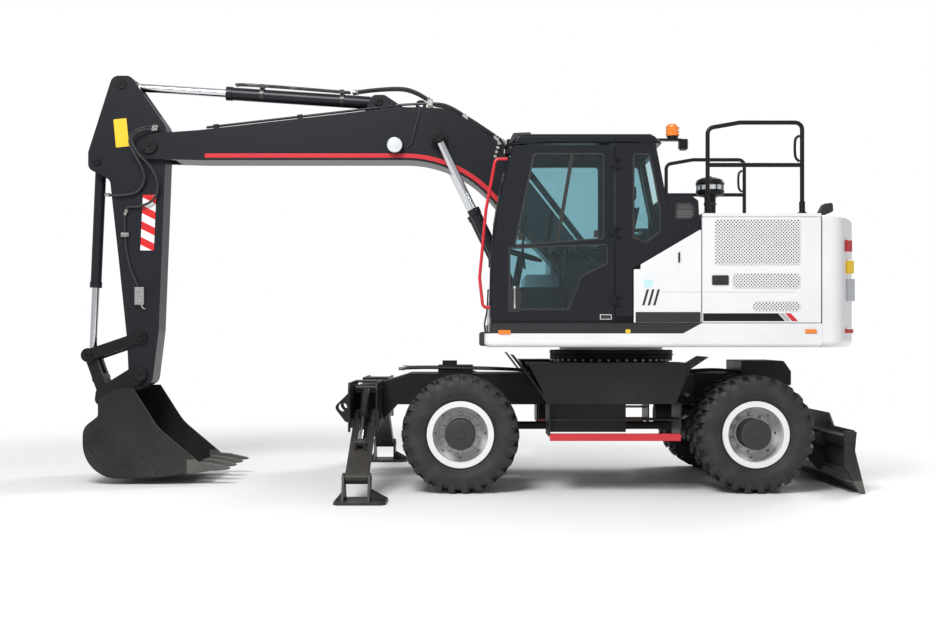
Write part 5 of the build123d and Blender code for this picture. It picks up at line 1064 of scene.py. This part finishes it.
lathe(bm, [(0.052, 0), (0.058, 0.004), (0.058, 0.022), (0.052, 0.026)], (STACK_X, STACK_Y, 2.600),
    (0, 0, 1), 32)
hex_nut(bm, (STACK_X, STACK_Y, 2.858), (0, 0, 1), 0.03, 0.012)
piece("precleaner_ribs", bm, "upper", black_plastic)
bm, lens = bmesh.new(), bmesh.new()
for z in (3.175, 3.205, 3.235):
    lathe(lens, [(0.0575, -0.004), (0.061, 0), (0.0575, 0.004)], (0.420, -1.120, z), (0, 0, 1), 32)
piece("beacon_ribs", lens, "upper", amber)
box(bm, (0.545, -1.165, 3.045), (0.552, -1.075, 3.122))
for y0 in (-1.15, -0.58):
    box(bm, (-1.058, y0 + 0.01, 3.088), (-1.050, y0 + 0.11, 3.124))
piece("work_lamp_lenses", bm, "upper", clear_lens, 0.002)

# Seat and controls
# Three foam pads under woven cloth, filled by a cloth simulation and seamed, stand on a black
# frame between two padded armrests. Lever knobs, boots and a blank screen are round them.
SEAT_Y = -0.785
seat_cloth = paint("seat_cloth", (0.045, 0.047, 0.052), 0.85, 0.05, peel=0.6, edge=0.001)
tree = seat_cloth.node_tree
weave = node(tree, "ShaderNodeTexWave", {"bands_direction": "Y"}, {"Scale": 90.0, "Distortion": 0.4},
             Vector=node(tree, "ShaderNodeTexCoord").outputs["Object"])
worked = next(n for n in tree.nodes if n.type == "GROUP")
tree.links.new(mixed(tree, weave.outputs[0], (0.030, 0.031, 0.035, 1), (0.065, 0.067, 0.074, 1)),
    worked.inputs["Paint"])
PADS = (  # name, outline (x, z, corner radius), half width, cap on how far it swells
    ("seat_cushion",
     ((-0.570, 1.912, 0.03), (-0.570, 1.985, 0.03), (-0.075, 1.985, 0.03), (-0.075, 1.912, 0.02)),
     0.232, 0.012),
    ("seat_back", ((-0.090, 2.005, 0.03), (-0.005, 1.985, 0.02), (0.125, 2.545, 0.03), (0.045, 2.575, 0.03)),
     0.212, 0.012),
    ("head_rest", ((0.078, 2.616, 0.02), (0.082, 2.748, 0.02), (0.132, 2.748, 0.02), (0.130, 2.616, 0.02)),
     0.088, 0.008))
PAD_PRESSURE, PAD_FRAMES = 4.0, 20
PAD_VOXEL, QUICK_VOXEL = 0.006, 0.010
for name, rows, half_width, cap in PADS:
    bm = bmesh.new()
    line = rounded(rows, 4)
    prism(bm, line, SEAT_Y - half_width, SEAT_Y + half_width)
    pad = piece(name, bm, None, seat_cloth)
    remesh = pad.modifiers.new("remesh", "REMESH")
    remesh.mode = "VOXEL"
    remesh.voxel_size = PAD_VOXEL
    with bpy.context.temp_override(object=pad, active_object=pad, selected_objects=[pad]):
        bpy.ops.object.modifier_apply(modifier="remesh")
    start = [v.co.copy() for v in pad.data.vertices]
    cloth = pad.modifiers.new("cloth", "CLOTH")
    cloth.settings.use_pressure = True
    cloth.settings.uniform_pressure_force = PAD_PRESSURE
    cloth.settings.effector_weights.gravity = 0.0
    for frame_number in range(1, PAD_FRAMES + 1):
        bpy.context.scene.frame_set(frame_number)
    with bpy.context.temp_override(object=pad, active_object=pad, selected_objects=[pad]):
        bpy.ops.object.modifier_apply(modifier="cloth")
    for vertex, before in zip(pad.data.vertices, start):
        step = vertex.co - before
        if step.length > cap:
            vertex.co = before + step.normalized() * cap
    smooth = pad.modifiers.new("smooth", "SUBSURF")
    smooth.levels = smooth.render_levels = 1
    pad.data.shade_smooth()
    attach(pad, "upper")
bpy.context.scene.frame_set(1)
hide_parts("seat")
seams, frame_parts, soft_arm = (bmesh.new() for _ in range(3))
for hand in (-1, 1):
    y = SEAT_Y + hand * 0.150
    tube(seams, [(-0.545, y, 1.999), (-0.45, y, 2.000), (-0.20, y, 2.000), (-0.095, y, 1.998)], 0.004, 6)
    tube(seams, [(-0.080, y, 2.05), (-0.050, y, 2.20), (0.010, y, 2.44), (0.035, y, 2.55)], 0.004, 6)
    rod(frame_parts, (0.085, SEAT_Y + hand * 0.045, 2.50), (0.103, SEAT_Y + hand * 0.045, 2.63), 0.007, 12)
    prism(frame_parts, rounded([(-0.045, 2.145, 0.01), (-0.420, 2.145, 0.02), (-0.420, 2.158, 0.005),
        (-0.045, 2.158, 0.005)]), *sorted((SEAT_Y + hand * 0.250, SEAT_Y + hand * 0.300)))
    prism(soft_arm, rounded([(-0.415, 2.158, 0.008), (-0.410, 2.186, 0.014), (-0.030, 2.186, 0.014),
        (-0.030, 2.158, 0.008)]), *sorted((SEAT_Y + hand * 0.248, SEAT_Y + hand * 0.302)))
prism(frame_parts, rounded([(-0.470, 1.565, 0.01), (-0.470, 1.895, 0.02), (-0.030, 1.895, 0.02),
    (-0.030, 1.565, 0.01)]), SEAT_Y - 0.218, SEAT_Y + 0.218)
for k in range(7):
    z = 1.70 + 0.024 * k
    prism(frame_parts, [(-0.474, z), (-0.026, z), (-0.022, z + 0.012), (-0.478, z + 0.012)], SEAT_Y - 0.222,
        SEAT_Y + 0.222)
prism(frame_parts, rounded([(0.000, 1.960, 0.01), (0.018, 1.955, 0.01), (0.146, 2.535, 0.01),
    (0.130, 2.560, 0.01)]), SEAT_Y - 0.205, SEAT_Y + 0.205)
piece("seat_seams", seams, "upper", black_plastic)
piece("seat_frame", frame_parts, "upper", black_plastic, 0.003)
piece("arm_rest_pads", soft_arm, "upper", seat_cloth, 0.006)
bm, screen = bmesh.new(), bmesh.new()
for x, y in ((-0.523, SEAT_Y - 0.355), (-0.523, SEAT_Y + 0.315)):
    lathe(bm, [(0, -0.055), (0.014, -0.053), (0.020, -0.03), (0.019, 0.0), (0.024, 0.018), (0.020, 0.034),
        (0, 0.040)], (x, y, 2.21), (0.10, 0, 1), 24)
    lathe(bm, [(0.034, -0.20), (0.030, -0.18), (0.034, -0.165), (0.024, -0.15), (0.028, -0.135),
        (0.018, -0.12), (0.012, -0.10)], (x, y, 2.21), (0.10, 0, 1), 24)
tube(bm, [(-0.86, -0.47, 2.02), (-0.88, -0.47, 2.20), (-0.87, -0.475, 2.33)], 0.012)
prism(bm, rounded([(-0.885, 2.32, 0.01), (-0.835, 2.50, 0.01), (-0.860, 2.508, 0.01), (-0.912, 2.328, 0.01)]),
      -0.565, -0.385)
prism(screen, [(-0.8815, 2.332), (-0.8345, 2.492), (-0.8335, 2.492), (-0.8805, 2.332)], -0.553, -0.397)
piece("lever_knobs_and_monitor", bm, "upper", black_plastic, 0.001)
piece("monitor_screen", screen, "upper", paint("dark_screen", (0.01, 0.014, 0.018), 0.08, 0.01, coat=1.0,
    edge=0.001))

# Worn edges
# The bucket and the blade work in the ground, so the paint is worn off their lower edges
# and off the teeth. The worn part is a zone of the same finish in the colour of bare steel.
BLADE_EDGE_TOP = 0.115
BUCKET_EDGE_TOP = 0.235
TEETH_START = 4.02
bare_steel = (0.085, 0.082, 0.078)
carried("blade", zoned("blade_paint", black_paint, bare_steel, ((0, 0, 1, BLADE_EDGE_TOP),)))
carried("bucket", zoned("bucket_paint", black_paint, bare_steel,
    ((0, 0, 1, BUCKET_EDGE_TOP), (-1, 0, 0, TEETH_START))))

# Hoses of the undercarriage
# Hoses leave the swivel for the legs and the blade, and short ones run along the left side.
hoses("leg_feed_hoses", "chassis", [[(-0.52, y, 1.02), (-0.80, y * 1.2, 1.055), (-1.20, y * 1.3, 1.075),
    (-1.75, y * 1.4, 1.085), (-2.05, y * 1.7, 1.08)] for y in (-0.20, -0.15, 0.15, 0.20)], 0.012)
hoses("blade_feed_hoses", "chassis", [
    [(0.55, y, 1.00), (0.80, y, 1.05), (1.15, y * 1.2, 1.055), (1.42, y * 1.5, 0.98), (1.50, y * 1.7, 0.86)]
    for y in (-0.18, -0.13, 0.13, 0.18)], 0.012)
hoses("side_hoses_left", "chassis", [
    [(-0.58, -0.62, 0.93), (-0.66, -0.74, 0.90), (-0.62, -0.84, 0.78), (-0.50, -0.82, 0.70)],
    [(-0.55, -0.60, 0.88), (-0.62, -0.70, 0.82), (-0.58, -0.80, 0.72), (-0.46, -0.76, 0.66)],
    [(0.62, -0.60, 0.86), (0.70, -0.70, 0.80), (0.66, -0.76, 0.70), (0.58, -0.70, 0.64)]], 0.013)
